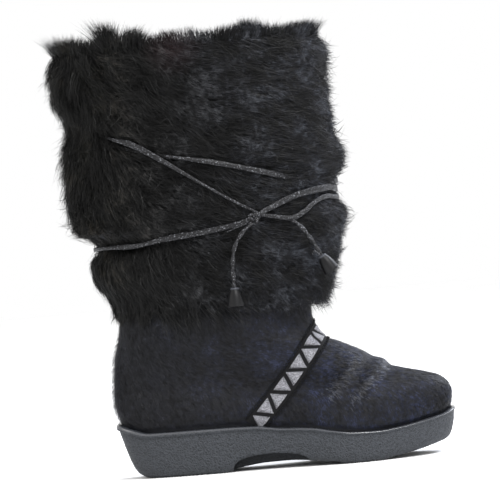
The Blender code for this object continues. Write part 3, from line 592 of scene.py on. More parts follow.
# %% [markdown]
# ## The sole
# A one-piece cup sole of vulcanised rubber: the wall leans in to a fine tread, a smooth bead
# runs round its lip, and both sides are hollowed under the arch. It is a skin over rings,
# each ring the sole's plan drawn in by a share of the undercuts, as in the CAD source.

# %% The sole's rings
# over 1 crowds the points toward heel and toe
CROWDING = 1.35


def lip_height(station):
    return SIDE_HEIGHT * table_curve(SIDE_LINES, station, 1)


def tread_height(station):
    return SIDE_HEIGHT * table_curve(SIDE_LINES, station, 2)


def foot_angles(count):
    """Angles round a foot section, closer together at the toe and the heel."""
    t = np.arange(count // 2) / (count // 2)
    eased = t**CROWDING / (t**CROWDING + (1 - t) ** CROWDING)
    return np.concatenate((math.pi * eased, math.pi * (1 + eased)))


def signed_power(values, power):
    return np.sign(values) * np.abs(values) ** power


def sole_ring(height_of, side_inset, heel_inset, toe_inset, angles):
    station = (1 + np.cos(angles)) / 2
    x = HEEL_X + heel_inset + station * (SOLE_LENGTH - heel_inset - toe_inset)
    outer = BALL_WIDTH * table_curve(SOLE_PLAN, station, 1)
    inner = BALL_WIDTH * table_curve(SOLE_PLAN, station, 2)
    half = (outer + inner) / 2 - side_inset
    swing = signed_power(np.sin(angles), mix(HEEL_ROUNDING, TOE_ROUNDING, station))
    return np.stack((x, (inner - outer) / 2 + half * swing, height_of(station)), axis=1)


# %% [markdown]
# The tread's edge is finely toothed. The teeth are moved points of the two lowest rings, one
# tooth every 2.4 mm, and the flat of heel and ball still touches the floor.

# %% The sole's mesh
SOLE_COLUMNS = 480
TOOTH_PITCH = 0.0024
TOOTH_HEIGHT = 0.0007
# the teeth keep this share of the arch cut's length away from its middle
TEETH_FROM_ARCH = 0.6
LIP_CROWN = 0.0006
# insets of the rings over the lip, as shares of its thickness
LIP_STEPS = (0.0, 0.10, 0.30, 0.62, 0.90, 1.0)
# the row of WALL_ROWS at which the wall turns into the bead
BEAD_ROW = 12


def cap_faces(count, first, flip):
    """Strips across a ring from its inner side to its outer side."""
    faces = []
    for k in range(count // 2):
        corners = [k, k + 1, (count - k - 1) % count, (count - k) % count]
        corners = list(dict.fromkeys(first + corner for corner in corners))
        faces.append(tuple(corners[::-1] if flip else corners))
    return faces


def mark_faces(made, first, last=None):
    """Gives the second material to the faces from first to last."""
    marks = np.zeros(len(made.data.polygons), dtype=np.int32)
    marks[first:last] = 1
    made.data.polygons.foreach_set("material_index", marks)


def build_sole(finishes):
    angles = foot_angles(SOLE_COLUMNS)
    rings = []
    for share, heel, toe, side in WALL_ROWS:
        def height_of(station, share=share):
            return mix(tread_height(station), lip_height(station), share)

        insets = (side * SIDE_LEAN, heel * HEEL_UNDERCUT, toe * TOE_UNDERCUT)
        rings.append(sole_ring(height_of, *insets, angles))
    for inset in LIP_STEPS:
        def lip_top(station, inset=inset):
            return lip_height(station) - LIP_CROWN * (2 * inset - 1) ** 2

        rings.append(sole_ring(lip_top, *[inset * LIP_THICKNESS] * 3, angles))
    walls = [LIP_THICKNESS] * 3
    rings.append(sole_ring(lambda station: lip_height(station) - CUP_DEPTH, *walls, angles))
    lowest = rings[0]
    walked = np.cumsum(np.linalg.norm(lowest - np.roll(lowest, 1, axis=0), axis=1))
    tooth = 0.5 + 0.5 * np.sign(np.sin(2 * math.pi * walked / TOOTH_PITCH))
    from_arch = np.abs(lowest[:, 0] - HEEL_X - ARCH_CUT_PLACE * SOLE_LENGTH)
    lowest[:, 2] += TOOTH_HEIGHT * tooth * (from_arch > TEETH_FROM_ARCH * ARCH_CUT_LENGTH)
    faces = skin_faces(len(rings), SOLE_COLUMNS) + cap_faces(SOLE_COLUMNS, 0, True)
    faces += cap_faces(SOLE_COLUMNS, (len(rings) - 1) * SOLE_COLUMNS, False)
    made = mesh_object("cup_sole", np.concatenate(rings), faces, *finishes)
    bead_end = len(WALL_ROWS) + len(LIP_STEPS) - 1
    mark_faces(made, BEAD_ROW * SOLE_COLUMNS, bead_end * SOLE_COLUMNS)
    return made


# %% [markdown]
# Vulcanised rubber takes its grain from the mould: a pebble of about 1.5 mm on the wall and a
# polished bead. Rubber's IOR is 1.52. The wall is matt and the bead catches a thin light. The
# hollow under the arch is painted darker and duller: painted shade for the shadow in it.

# %% Vulcanised rubber
MATT_GLOSS = 0.3
GLOSS_OF_COAT = 0.4


def vulcanised_rubber(name, roughness, pebble, low, high, coat):
    gloss = MATT_GLOSS + GLOSS_OF_COAT * coat
    made, tree, shader, place = new_material(
        name, roughness, IOR=1.52, Coat_Weight=coat, Coat_Roughness=0.2, Specular_IOR_Level=gloss,
    )
    grain = node(
        tree, "ShaderNodeTexVoronoi", Vector=place, Scale=per_metre(1.5), Randomness=1.0,
    ).outputs["Distance"]
    fine = node(
        tree, "ShaderNodeTexNoise",
        Vector=place, Scale=per_metre(0.9), Detail=3.0, Roughness=0.6,
    ).outputs["Fac"]
    height = node(
        tree, "ShaderNodeMath", {"operation": "MULTIPLY_ADD"}, i0=fine, i1=0.8, i2=grain,
    ).outputs["Value"]
    dress(tree, shader, height, ((0.35, low), (0.95, high)), height, pebble, 0.0009)
    print("material:", name)
    return made


pebbled = vulcanised_rubber("pebbled vulcanised rubber", 0.58, 1.0, "#141618", "#34373c", 0.0)
polished = vulcanised_rubber("polished rubber bead", 0.22, 0.06, "#26282b", "#34363b", 0.8)
# the hollow under the arch is painted darker than the wall: painted shade
shaded_recess_rubber = vulcanised_rubber("rubber with painted shade under the arch", 0.8, 0.6, "#0d0e10", "#1e2023", 0.0)
sole = build_sole([pebbled, polished])
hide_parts("outsole")
print("sole faces:", len(sole.data.polygons))

# %% [markdown]
# The arch is hollowed from both sides by a rounded bar that stops at a core. A Boolean
# modifier takes it out, so the wall's rings stay simple.

# %% Hollow under the arch
BAR_STEPS = 32
BAR_BELOW = 0.010
CORE_COLUMNS = 96
CORE_BELOW = 0.020


def cutter(name, data):
    """A solid that only cuts: never rendered, and not a piece of the boot."""
    # the cut faces take this darker rubber: painted shade in the hollow
    data.materials.append(shaded_recess_rubber)
    made = linked(name, data)
    made.hide_render = True
    made.display_type = "WIRE"
    return made


def take_out(made, name, tool):
    """A modifier that takes a cutter out of an object."""
    cut = made.modifiers.new(name, "BOOLEAN")
    cut.operation = "DIFFERENCE"
    cut.object = tool
    return cut


def arch_bar():
    middle = HEEL_X + ARCH_CUT_PLACE * SOLE_LENGTH
    half = ARCH_CUT_LENGTH / 2
    outline = [(middle + half, -BAR_BELOW), (middle - half, -BAR_BELOW)]
    for step in range(BAR_STEPS + 1):
        angle = math.pi * (1 - step / BAR_STEPS)
        high = ARCH_CUT_HEIGHT * math.sin(angle) ** ARCH_CUT_SQUARENESS
        outline.append((middle + half * math.cos(angle), high))
    shape = bmesh.new()
    face = shape.faces.new([shape.verts.new((x, -BALL_WIDTH, z)) for x, z in outline])
    pushed = bmesh.ops.extrude_face_region(shape, geom=[face])
    moved = [item for item in pushed["geom"] if isinstance(item, bmesh.types.BMVert)]
    bmesh.ops.translate(shape, verts=moved, vec=(0, 2 * BALL_WIDTH, 0))
    bmesh.ops.recalc_face_normals(shape, faces=shape.faces)
    data = bpy.data.meshes.new("arch bar")
    shape.to_mesh(data)
    shape.free()
    return cutter("arch_bar", data)


def arch_core():
    angles = foot_angles(CORE_COLUMNS)
    inset = [SIDE_LEAN + ARCH_CUT_DEPTH] * 3
    low = sole_ring(lambda station: station * 0 - CORE_BELOW, *inset, angles)
    high = sole_ring(lip_height, *inset, angles)
    faces = skin_faces(2, CORE_COLUMNS) + cap_faces(CORE_COLUMNS, 0, True)
    faces += cap_faces(CORE_COLUMNS, CORE_COLUMNS, False)
    data = bpy.data.meshes.new("arch core")
    data.from_pydata(np.concatenate((low, high)).tolist(), [], faces)
    return cutter("arch_core", data)


bar = arch_bar()
take_out(bar, "core", arch_core())
take_out(sole, "arch", bar).material_mode = "TRANSFER"

# %% [markdown]
# ## The foot's hide
# The foot is cut from short-haired hide over a felt lining. Its sections come from the last:
# each one blends from the sole's plan to the ankle's oval. A fine grid of points is kept
# with it, because the hair is rooted on that grid.

# %% The foot's sections
TUCK_GAP = 0.0004
FOOT_COLUMNS = 200
FOOT_ROWS = 84


def foot_ring(row, angles):
    front_at, back_at, front_up, back_up, lift, plane, full, oval, toe, heel, tuck = row
    inset = tuck * (LIP_THICKNESS + TUCK_GAP)
    back = HEEL_X + back_at * SOLE_LENGTH + inset
    front = HEEL_X + front_at * SOLE_LENGTH - inset
    along = (1 + np.cos(angles)) / 2
    x = mix(back, front, along)
    station = (x - HEEL_X) / SOLE_LENGTH if tuck < 1 else along
    outer = BALL_WIDTH * table_curve(SOLE_PLAN, station, 1) * full
    inner = BALL_WIDTH * table_curve(SOLE_PLAN, station, 2) * full
    outer = mix(outer, ANKLE_WIDTH / 2, oval) - inset
    inner = mix(inner, ANKLE_WIDTH / 2, oval) - inset
    swing = signed_power(np.sin(angles), mix(heel, toe, along))
    following = lip_height(station) + lift * SEAM_HEIGHT
    level = SEAM_HEIGHT * mix(back_up, front_up, along)
    z = mix(following, level, plane)
    return np.stack((x, (inner - outer) / 2 + (inner + outer) / 2 * swing, z), axis=1)


def foot_grid():
    """Sections between the table's rows, so that the skin is smooth from lip to seam."""
    angles = foot_angles(FOOT_COLUMNS)
    keys = np.arange(len(UPPER_ROWS), dtype=float)
    table = np.column_stack((keys, UPPER_ROWS))
    sections = []
    for place in np.linspace(0, len(UPPER_ROWS) - 1, FOOT_ROWS):
        row = [float(table_curve(table, place, column)) for column in range(1, table.shape[1])]
        # only the first section is tucked in fully, and lies in the cup
        row[-1] = 1.0 if place == 0 else min(row[-1], 0.999)
        sections.append(foot_ring(row, angles))
    tucked = [LIP_THICKNESS + TUCK_GAP] * 3
    feather = sole_ring(lambda station: lip_height(station) - CUP_DEPTH + GAP, *tucked, angles)
    return np.stack([feather, mix(feather, sections[0], 0.5), *sections])


# %% [markdown]
# Walking has pressed two soft folds across the vamp. They are set where the photograph shows them:
# two ridges that run up and forward, and troughs beside them.

# %% Folds of the vamp
# x and z of the lower and the upper end, width, height, all in metres
VAMP_FOLDS = (
    ((0.0530, 0.0567), (0.0724, 0.0791), 0.0042, 0.0010),
    ((0.0615, 0.0535), (0.0860, 0.0800), 0.0036, -0.0008),
    ((0.0700, 0.0505), (0.0988, 0.0801), 0.0045, 0.0011),
    ((0.0800, 0.0500), (0.1080, 0.0790), 0.0036, -0.0006),
    ((-0.0900, 0.0700), (-0.0200, 0.0760), 0.0060, -0.0008),
    ((-0.0950, 0.1050), (-0.0300, 0.0950), 0.0070, 0.0008),
)


def off_fold(points, start, end):
    """How far places are, seen from the side, from the line of a fold."""
    start, end = np.array(start), np.array(end)
    way = end - start
    flat = points[..., (0, 2)] - start
    share = np.clip((flat @ way) / (way @ way), 0, 1)
    return np.linalg.norm(flat - share[..., None] * way, axis=-1)


def fold_height(points):
    """How far the folds lift or sink a place of the foot."""
    lifted = np.zeros(points.shape[:-1])
    for start, end, width, height in VAMP_FOLDS:
        lifted += height * np.exp(-((off_fold(points, start, end) / width) ** 2))
    return lifted


def grid_normals(grid):
    """Outward directions of a grid of points whose rows are closed rings."""
    around = np.roll(grid, -1, axis=1) - np.roll(grid, 1, axis=1)
    upward = np.gradient(grid, axis=0)
    normals = np.cross(around, upward)
    return normals / np.maximum(np.linalg.norm(normals, axis=-1, keepdims=True), 1e-12)


foot = foot_grid()
foot = foot + grid_normals(foot) * fold_height(foot)[..., None]
foot_normals = grid_normals(foot)
print("foot grid:", foot.shape[:2])

# %% [markdown]
# Under the hair the hide is near-black skin. Its bump is a fine streak 1.1 mm wide, drawn out
# lengthwise. Sheen stands for the down that no strip is small enough for. The lining and the
# footbed are pressed wool felt: fully rough, and mottled over a few millimetres.

# %% Dyed calf hide and felt
def dyed_calf_hide():
    made, tree, shader, place = new_material(
        "dyed calf hide", 0.6, IOR=1.5, Specular_IOR_Level=0.2, Sheen_Weight=0.06,
        Sheen_Tint=linear("#aab2c8"),
    )
    drawn_out = node(tree, "ShaderNodeMapping", Vector=place, Scale=(0.35, 1.0, 1.0))
    streak = node(
        tree, "ShaderNodeTexNoise",
        Vector=drawn_out.outputs["Vector"], Scale=per_metre(1.1), Detail=3.0,
    ).outputs["Fac"]
    stops = ((0.3, "#090a0d"), (0.75, "#14151b"))
    dress(tree, shader, streak, stops, streak, 0.5, 0.0006)
    return made


def felt(name, dark, light):
    fibres = {"Scale": per_metre(2.0), "Detail": 6.0, "Roughness": 0.75}
    stops = ((0.3, dark), (0.7, light))
    return grained(name, 0.95, fibres, stops, 0.7, 0.0010, Sheen_Weight=0.4, Sheen_Roughness=0.6)


hide = dyed_calf_hide()
lining = felt("grey wool felt lining", "#2a2826", "#4a4744")
footbed = felt("pressed felt footbed", "#3a3733", "#5c5852")
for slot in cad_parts["insole"].material_slots:
    slot.material = footbed

# %% [markdown]
# The hide is a wall: the grid outside, the same grid moved in as the lining, and a rim between
# them at the sole and at the seam.

# %% The foot's shell
HIDE_SHARE = 0.9


def shell(name, grid, wall, outside_finish, inside_finish):
    """A grid of rings as a wall with its own inner face and rims."""
    rings, count = grid.shape[:2]
    inside = grid - grid_normals(grid) * wall
    points = np.concatenate((grid.reshape(-1, 3), inside.reshape(-1, 3)))
    outer_faces = skin_faces(rings, count)
    shift = rings * count
    inner_faces = [tuple(corner + shift for corner in face[::-1]) for face in outer_faces]
    rims = []
    top = (rings - 1) * count
    for k in range(count):
        after = (k + 1) % count
        rims.append((after, k, k + shift, after + shift))
        rims.append((top + k, top + after, top + after + shift, top + k + shift))
    faces = outer_faces + inner_faces + rims
    made = mesh_object(name, points, faces, outside_finish, inside_finish)
    mark_faces(made, len(outer_faces))
    return made


foot_shell = shell("foot_hide", foot, UPPER_WALL * HIDE_SHARE, hide, lining)
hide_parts("upper")
print("foot faces:", len(foot_shell.data.polygons))

# %% [markdown]
# ## The shaft's form
# The fur hangs on a leg-shaped tube. Its outer form is an oval at each height, read from the
# table, and it is pressed in where the lace runs. Hair is placed by turn and height on that
# form, plus a height over the skin, so it always follows the leg round.

# %% The shaft's form
HAIR_DEPTH = 0.0085
# the form's table is read between these shares of the height
HEM_SHARE = 0.375
RIM_SHARE = 0.989
# how far from a lace the fur is pressed, in metres, and how much of it under a closed stretch
PRESS_REACH = 0.0068
CLOSED_PRESS = 0.45
# how far along the fur closes over a lace, as a turn
CLOSING = 0.024
# stretches of each length, as turns, where the fur has closed over the lace
LOW_COVERED = ()
UNDER_COVERED = ((0.43, 0.750),)
OVER_COVERED = ((0.43, 0.652), (-0.172, -0.034))
LACES = ((LOW_RING, LOW_COVERED), (UNDER_LENGTH, UNDER_COVERED), (OVER_LENGTH, OVER_COVERED))


def shaft_place(turn, share, depth):
    """A point inside the fur's outer form by a depth, and the direction out of it."""
    level = np.clip(share, HEM_SHARE, RIM_SHARE)
    back = FUR_BACK_X + SHAFT_DEPTH * table_curve(FUR_ROWS, level, 1)
    front = FUR_BACK_X + SHAFT_DEPTH * table_curve(FUR_ROWS, level, 2)
    half = SHAFT_WIDTH / 2 * table_curve(FUR_ROWS, level, 3)
    angle = 2 * math.pi * turn
    reach = (front - back) / 2
    c, s = np.cos(angle), np.sin(angle)
    length = np.hypot(c / reach, s / half)
    nx, ny = c / reach / length, s / half / length
    x = (back + front) / 2 + reach * c - nx * depth
    y = half * s - ny * depth
    point = np.stack((x, y, BOOT_HEIGHT * share), axis=-1)
    return point, np.stack((nx, ny, np.zeros_like(nx)), axis=-1)


def covered_share(turn, stretches):
    """How far, from 0 to 1, the fur has closed over a lace at a turn."""
    closed = np.zeros_like(turn)
    for first, last in stretches:
        inside = np.minimum(turn - first, last - turn) / CLOSING
        closed = np.maximum(closed, np.clip(inside, 0, 1))
    return closed


def lace_dip(turn, share):
    """Depth to which the laces press the fur, and nearness to a lace, at a place."""
    dip = np.zeros_like(turn)
    near = np.zeros_like(turn)
    for route, stretches in LACES:
        turns, levels, depths = route[::-1].T
        for lap in (-1, 0, 1):
            place = turn % 1 + lap
            inside = (place >= turns[0]) & (place <= turns[-1])
            level = np.interp(place, turns, levels)
            depth = np.interp(place, turns, depths)
            away = (share - level) * BOOT_HEIGHT
            shown = 1 - covered_share(place, stretches)
            close = np.where(inside, np.exp(-((away / PRESS_REACH) ** 2)), 0.0)
            dip = np.maximum(dip, close * depth * mix(CLOSED_PRESS, 1.0, shown))
            touching = np.where(inside, np.exp(-((away / (LACE_WIDTH * 0.55)) ** 4)), 0.0)
            near = np.maximum(near, touching * shown)
    return dip, near


# %% [markdown]
# The skin under the fur is a closed tube: outside, rolled collar, felt-lined inside and a
# turned hem. It is nearly all covered, and it keeps any gap between locks dark.

# %% The shaft's skin
RIM_HAIR = 0.016
SKIN_COLUMNS = 160
# shares of the height between which the outside of the skin runs, and its numbers of rings
SKIN_FROM = 0.352
SKIN_TO = 0.945
OUTSIDE_RINGS = 64
INSIDE_RINGS = 24
# shares of the way over the rolled edge, and its rise in metres
COLLAR_STEPS = np.linspace(0.12, 0.88, 7)
COLLAR_ROLL = 0.006
# how far the skin is tucked in at the hem, and the shares of the height where that is full
# and where it ends
HEM_TUCK = 0.010
TUCK_FULL = 0.35
TUCK_END = 0.40
# the leg's form from the ankle, 0, to the calf, 1, at five shares of the way up
LEG_WIDENING = ((0.0, 0.18, 0.40, 0.65, 1.0), (0.0, 0.30, 0.60, 0.84, 1.0))
# share of the shaft's depth at which the leg's middle lies
LEG_MIDDLE = 0.499


def inner_ring(up, turns):
    """The inside of the leg, from the ankle at up 0 to the calf at up 1."""
    widening = np.interp(up, *LEG_WIDENING)
    ankle_back = HEEL_X + UPPER_ROWS[-1][1] * SOLE_LENGTH + UPPER_WALL
    ankle_front = HEEL_X + UPPER_ROWS[-1][0] * SOLE_LENGTH - UPPER_WALL
    middle = FUR_BACK_X + SHAFT_DEPTH * LEG_MIDDLE
    back = mix(ankle_back, middle - LEG_DEPTH / 2, widening)
    front = mix(ankle_front, middle + LEG_DEPTH / 2, widening)
    half = mix(ANKLE_WIDTH / 2 - UPPER_WALL, LEG_WIDTH / 2, widening)
    angle = 2 * math.pi * turns
    x = (back + front) / 2 + (front - back) / 2 * np.cos(angle)
    z = np.full_like(turns, mix(SEAM_HEIGHT, BOOT_HEIGHT - RIM_HAIR, up))
    return np.stack((x, half * np.sin(angle), z), axis=1)


def build_shaft_skin():
    turns = np.arange(SKIN_COLUMNS) / SKIN_COLUMNS
    rings = []
    for share in np.linspace(SKIN_FROM, SKIN_TO, OUTSIDE_RINGS):
        level = np.full(SKIN_COLUMNS, share)
        dip, _ = lace_dip(turns, level)
        tuck = HEM_TUCK * np.clip((TUCK_END - share) / (TUCK_END - TUCK_FULL), 0, 1)
        rings.append(shaft_place(turns, level, HAIR_DEPTH + dip + tuck)[0])
    collar_from, collar_to = rings[-1], inner_ring(1.0, turns)
    for step in COLLAR_STEPS:
        ring = mix(collar_from, collar_to, step)
        ring[:, 2] += COLLAR_ROLL * math.sin(math.pi * step)
        rings.append(ring)
    rings += [inner_ring(up, turns) for up in np.linspace(1, 0, INSIDE_RINGS)]
    faces = skin_faces(len(rings), SKIN_COLUMNS, closed=True)
    made = mesh_object("shaft_skin", np.concatenate(rings), faces, hide, lining)
    lined_from = (OUTSIDE_RINGS + len(COLLAR_STEPS) - 1) * SKIN_COLUMNS
    mark_faces(made, lined_from, lined_from + INSIDE_RINGS * SKIN_COLUMNS)
    return made


shaft_skin = build_shaft_skin()
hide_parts("fur_shaft")
print("faces of the shaft's skin:", len(shaft_skin.data.polygons))

# %% [markdown]
# ## Hair
# A hair is a strip of three or four crossings that tapers to a point. Real hair is 0.05 mm
# thick, far too fine to show, so a strip stands for a few hairs that cling together.
# Strips carry the highlights and the ragged outline, which a noise on a surface can't give.

# %% Strips of hair
def hair_object(name, paths, sides, widths, tapers, finish):
    """One mesh of tapered strips. paths and sides are hairs by crossings by three."""
    hairs, crossings = paths.shape[:2]
    body = crossings - 1
    half = widths[:, None, None] * np.asarray(tapers)[None, :body, None] / 2
    left = paths[:, :body] - sides[:, :body] * half
    right = paths[:, :body] + sides[:, :body] * half
    pairs = np.stack((left, right), axis=2).reshape(hairs, 2 * body, 3)
    points = np.concatenate((pairs, paths[:, -1:]), axis=1)
    each = 2 * body + 1
    first = np.arange(hairs)[:, None] * each
    quads = [(2 * k, 2 * k + 1, 2 * k + 3, 2 * k + 2) for k in range(body - 1)]
    tip = (2 * body - 2, 2 * body - 1, 2 * body)
    corners = np.concatenate([first + np.array(face) for face in (*quads, tip)], axis=1)
    sizes = np.tile([4] * len(quads) + [3], hairs)
    starts = np.concatenate(([0], np.cumsum(sizes)[:-1]))
    data = bpy.data.meshes.new(name)
    data.vertices.add(hairs * each)
    data.vertices.foreach_set("co", points.reshape(-1).astype(np.float32))
    data.loops.add(corners.size)
    data.loops.foreach_set("vertex_index", corners.reshape(-1).astype(np.int32))
    data.polygons.add(len(sizes))
    data.polygons.foreach_set("loop_start", starts.astype(np.int32))
    data.update(calc_edges=True)
    data.shade_smooth()
    data.materials.append(finish)
    made = linked(name, data)
    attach(made, "root")
    print(name, "hairs:", hairs, "triangles:", hairs * (2 * len(quads) + 1))


def unit(vectors):
    return vectors / np.maximum(np.linalg.norm(vectors, axis=-1, keepdims=True), 1e-12)


def strip_sides(paths, outward, twist):
    """The width direction of each strip: across its way and flat on the fur, then twisted."""
    along = unit(np.gradient(paths, axis=1))
    across = unit(np.cross(outward, along))
    over = np.cross(along, across)
    return across * np.cos(twist)[:, None, None] + over * np.sin(twist)[:, None, None]


# %% [markdown]
# Keratin has an IOR of 1.55. Dyed black hair mirrors its lamp in long soft streaks, so the strips
# are half matt. Their colour wanders over 26 mm, and its palest streaks are partly the hair's own
# mixed tone and partly painted sheen. Toward the front it is painted bluish and paler, and behind
# it is olive-black and darker: painted light and shade for the cool light on the front. A trace of
# red lies near the collar.

# %% Dyed hair
STRAND_MM = 4.5
CLOUD_MM = 26.0
# the weight of the clouds beside the strands, and the shift that keeps their sum in range
CLOUD_WEIGHT = 0.85
STREAK_SHIFT = 0.42
# where along the boot the colour turns from warm and darker to cool and paler: painted light and
# shade
WARM_X = -0.11
COOL_X = 0.07
RED_PATCH = (-0.0480, -0.0640, 0.3380)
RED_CORE = 0.004
RED_REACH = 0.026
RED_SHARE = 0.06


def dyed_hair(name, roughness, gloss, dark, middle, pale):
    """Hair from dark to pale. middle and pale each hold a warm colour and a cool one; the cool,
    paler one is painted toward the front as painted light.
    """
    made, tree, shader, place = new_material(
        name, roughness, IOR=1.55, Specular_IOR_Level=gloss,
    )
    strand = node(
        tree, "ShaderNodeTexNoise",
        Vector=place, Scale=per_metre(STRAND_MM), Detail=3.0, Roughness=0.7,
    ).outputs["Fac"]
    cloud = node(
        tree, "ShaderNodeTexNoise", Vector=place, Scale=per_metre(CLOUD_MM), Detail=2.0,
    ).outputs["Fac"]
    summed = node(
        tree, "ShaderNodeMath", {"operation": "MULTIPLY_ADD"}, i0=cloud, i1=CLOUD_WEIGHT, i2=strand,
    ).outputs["Value"]
    streak = node(
        tree, "ShaderNodeMath", {"operation": "SUBTRACT"}, i0=summed, i1=STREAK_SHIFT,
    ).outputs["Value"]
    tones = []
    for centre, half_way, light in zip((0.60, 0.58), middle, pale):
        stops = ((0.40, dark), (centre, half_way), (0.74, light))
        tone = node(tree, "ShaderNodeValToRGB", {"stops": stops}, Fac=streak)
        tones.append(tone.outputs["Color"])
    # painted light and shade: cool and paler toward the front, warm and darker behind
    x = node(tree, "ShaderNodeSeparateXYZ", Vector=place).outputs["X"]
    forward = node(
        tree, "ShaderNodeMapRange", Value=x, From_Min=WARM_X, From_Max=COOL_X,
    ).outputs["Result"]
    blend = node(
        tree, "ShaderNodeMix", {"data_type": "RGBA"}, Factor=forward, i6=tones[0], i7=tones[1],
    ).outputs[2]
    from_patch = node(
        tree, "ShaderNodeVectorMath", {"operation": "DISTANCE"}, i0=place, i1=RED_PATCH,
    ).outputs["Value"]
    near_patch = node(
        tree, "ShaderNodeMapRange", Value=from_patch,
        From_Min=RED_CORE, From_Max=RED_REACH, To_Min=RED_SHARE, To_Max=0.0,
    ).outputs["Result"]
    tinted = node(
        tree, "ShaderNodeMix", {"data_type": "RGBA"},
        Factor=near_patch, i6=blend, i7=linear("#5a1420"),
    )
    tree.links.new(tinted.outputs[2], shader.inputs["Base Color"])
    print("material:", name)
    return made


long_hair = dyed_hair(
    "long dyed hair", 0.46, 0.16, "#060606", ("#11110f", "#13141a"), ("#302d28", "#454951"),
)
short_hair = dyed_hair(
    "short dyed hair", 0.42, 0.14, "#070709", ("#141416", "#1b1f2e"), ("#2b2c32", "#2c324b"),
)
# paler hair for the ridges of the folds: a painted sheen
painted_sheen_hair = dyed_hair(
    "short hair with painted sheen", 0.46, 0.35, "#2c2c30", ("#3a3a3e", "#3d4048"), ("#66666b", "#6b7079"),
)

# %% [markdown]
# ## The lie of the long fur
# On the outer side the fur is combed round toward the front. Behind and at the hem it falls.
# Locks are gathered first: each lock has a place, a direction, a length and a lift, and its
# hairs start spread out and close up toward its tip.

# %% The lie of the fur
SHAFT_PERIMETER = math.pi * (SHAFT_DEPTH + SHAFT_WIDTH) / 2
# shares of the height at which the hem's fall starts to fade and the top's rise to grow, and
# how far up each takes
HEM_FROM = 0.35
HEM_FADE = 0.20
TOP_FROM = 0.90
TOP_FADE = 0.10
# how sharply the fall gathers behind
BACK_POWER = 2.6
# degrees by which the hair falls at the sides, behind and at the hem, by which it rises at
# the top, and the steepest fall
SIDE_FALL = 12
BACK_FALL = 70
HEM_FALL = 45
TOP_RISE = 10
STEEPEST = 92


def behindness(turn):
    """From 0 in front to 1 behind."""
    return (1 - np.cos(2 * math.pi * turn)) / 2


def hair_flow(turn, share):
    """Angle of the lie of the fur, from level toward the front (0) to straight down (90)."""
    at_back = behindness(turn)
    near_hem = np.clip(1 - (share - HEM_FROM) / HEM_FADE, 0, 1)
    near_top = np.clip((share - TOP_FROM) / TOP_FADE, 0, 1)
    hem_fall = HEM_FALL * near_hem * (0.35 + 0.65 * at_back)
    degrees = SIDE_FALL + BACK_FALL * at_back**BACK_POWER + hem_fall - TOP_RISE * near_top
    return np.radians(np.minimum(degrees, STEEPEST))


# %% Locks
LOCK_SPACING = 0.0068
HAIR_LENGTH = 0.031
# scatter of the length and the lift, as shares, and of a strip's width
LOCK_RANGE = (0.62, 1.12)
WIDTH_RANGE = (0.6, 1.3)
# turn, and the height in metres that the hem's hair reaches down to
HEM_LINE = np.array((
    (0.000, 0.129), (0.250, 0.119), (0.500, 0.127), (0.600, 0.122), (0.640, 0.117),
    (0.694, 0.112), (0.750, 0.118), (0.850, 0.122), (0.930, 0.127), (1.000, 0.129),
))
# how far round counts as behind, and the share of the height at which the low ring has
# tucked the fur in there, with the room left over it
BEHIND = 0.80
BACK_TUCK = 0.555
ROOM_OVER_RING = 0.006
# scatter of the room to the hem or the ring, and the least room, in metres
ROOM_SCATTER = 0.0025
LEAST_ROOM = 0.004
# some locks stand bolder and close up more, and those under the ring stand less
BOLD_SHARE = 0.12
BOLD_STAND = 1.5
BOLD_CLOSE = 0.92
TUCKED_STAND = 0.55
# degrees by which locks wander: two waves that neighbours share, and each by itself
WIDE_WAVE = 9
LONG_WAVE = 7
LOCK_WANDER = 9
LOCK_SWAY = 0.28


def scatter_locks(low, high):
    """Lock places on a jittered lattice between two shares of the height."""
    rows = round((high - low) * BOOT_HEIGHT / LOCK_SPACING)
    columns = round(SHAFT_PERIMETER / LOCK_SPACING)
    up = np.arange(rows)[:, None] + rng.uniform(0, 1, (rows, columns))
    turn = (np.arange(columns)[None, :] + rng.uniform(0, 1, (rows, columns))) / columns
    return turn.ravel() % 1, (low + up / rows * (high - low)).ravel()


def locks_of(turn, share):
    count = len(turn)
    at_back = behindness(turn)
    bold = rng.uniform(0, 1, count) < BOLD_SHARE
    wander = WIDE_WAVE * np.sin(9 * turn * 2 * math.pi + 14 * share)
    wander = wander + LONG_WAVE * np.sin(37 * share + 4 * math.pi * turn)
    wander = wander + rng.normal(0, LOCK_WANDER, count) * (0.7 + at_back)
    angle = hair_flow(turn, share) + np.radians(wander)
    behind = at_back > BEHIND
    below_tuck = behind & (share < BACK_TUCK)
    to_hem = share * BOOT_HEIGHT - np.interp(turn % 1, *HEM_LINE.T)
    to_ring = np.maximum((share - BACK_TUCK) * BOOT_HEIGHT, ROOM_OVER_RING)
    room = np.where(behind & ~below_tuck, to_ring, to_hem)
    room = np.maximum(room + rng.normal(0, ROOM_SCATTER, count), LEAST_ROOM)
    stand = np.where(bold, BOLD_STAND, 1.0) * np.where(below_tuck, TUCKED_STAND, 1.0)
    drop = np.maximum(np.sin(angle), 0.15)
    length = np.minimum(HAIR_LENGTH * rng.uniform(*LOCK_RANGE, count), room / drop)
    lift = HAIR_DEPTH * rng.uniform(*LOCK_RANGE, count) * (1 + 0.12 * at_back**3) * stand
    close = np.where(bold, BOLD_CLOSE, rng.uniform(0.45, 0.85, count))
    return {
        "turn": turn, "share": share, "angle": angle, "length": length, "lift": lift,
        "close": close, "sway": rng.normal(0, LOCK_SWAY, count),
    }


# %% [markdown]
# Each hair walks over the shaft's form in short steps. Its height over the skin grows fast at
# first and then levels out, the way hair leaves a follicle. Near a lace it is held down.

# %% Combing long hair
STEPS = 12
# how fast the height levels out, over 1, and how much more the tips rise in front, in metres
LEVELLING = 1.7
FRONT_RISE = 0.0010
# hair beside a lace rises no higher than this share of the fur's depth
HELD_SHARE = 0.93


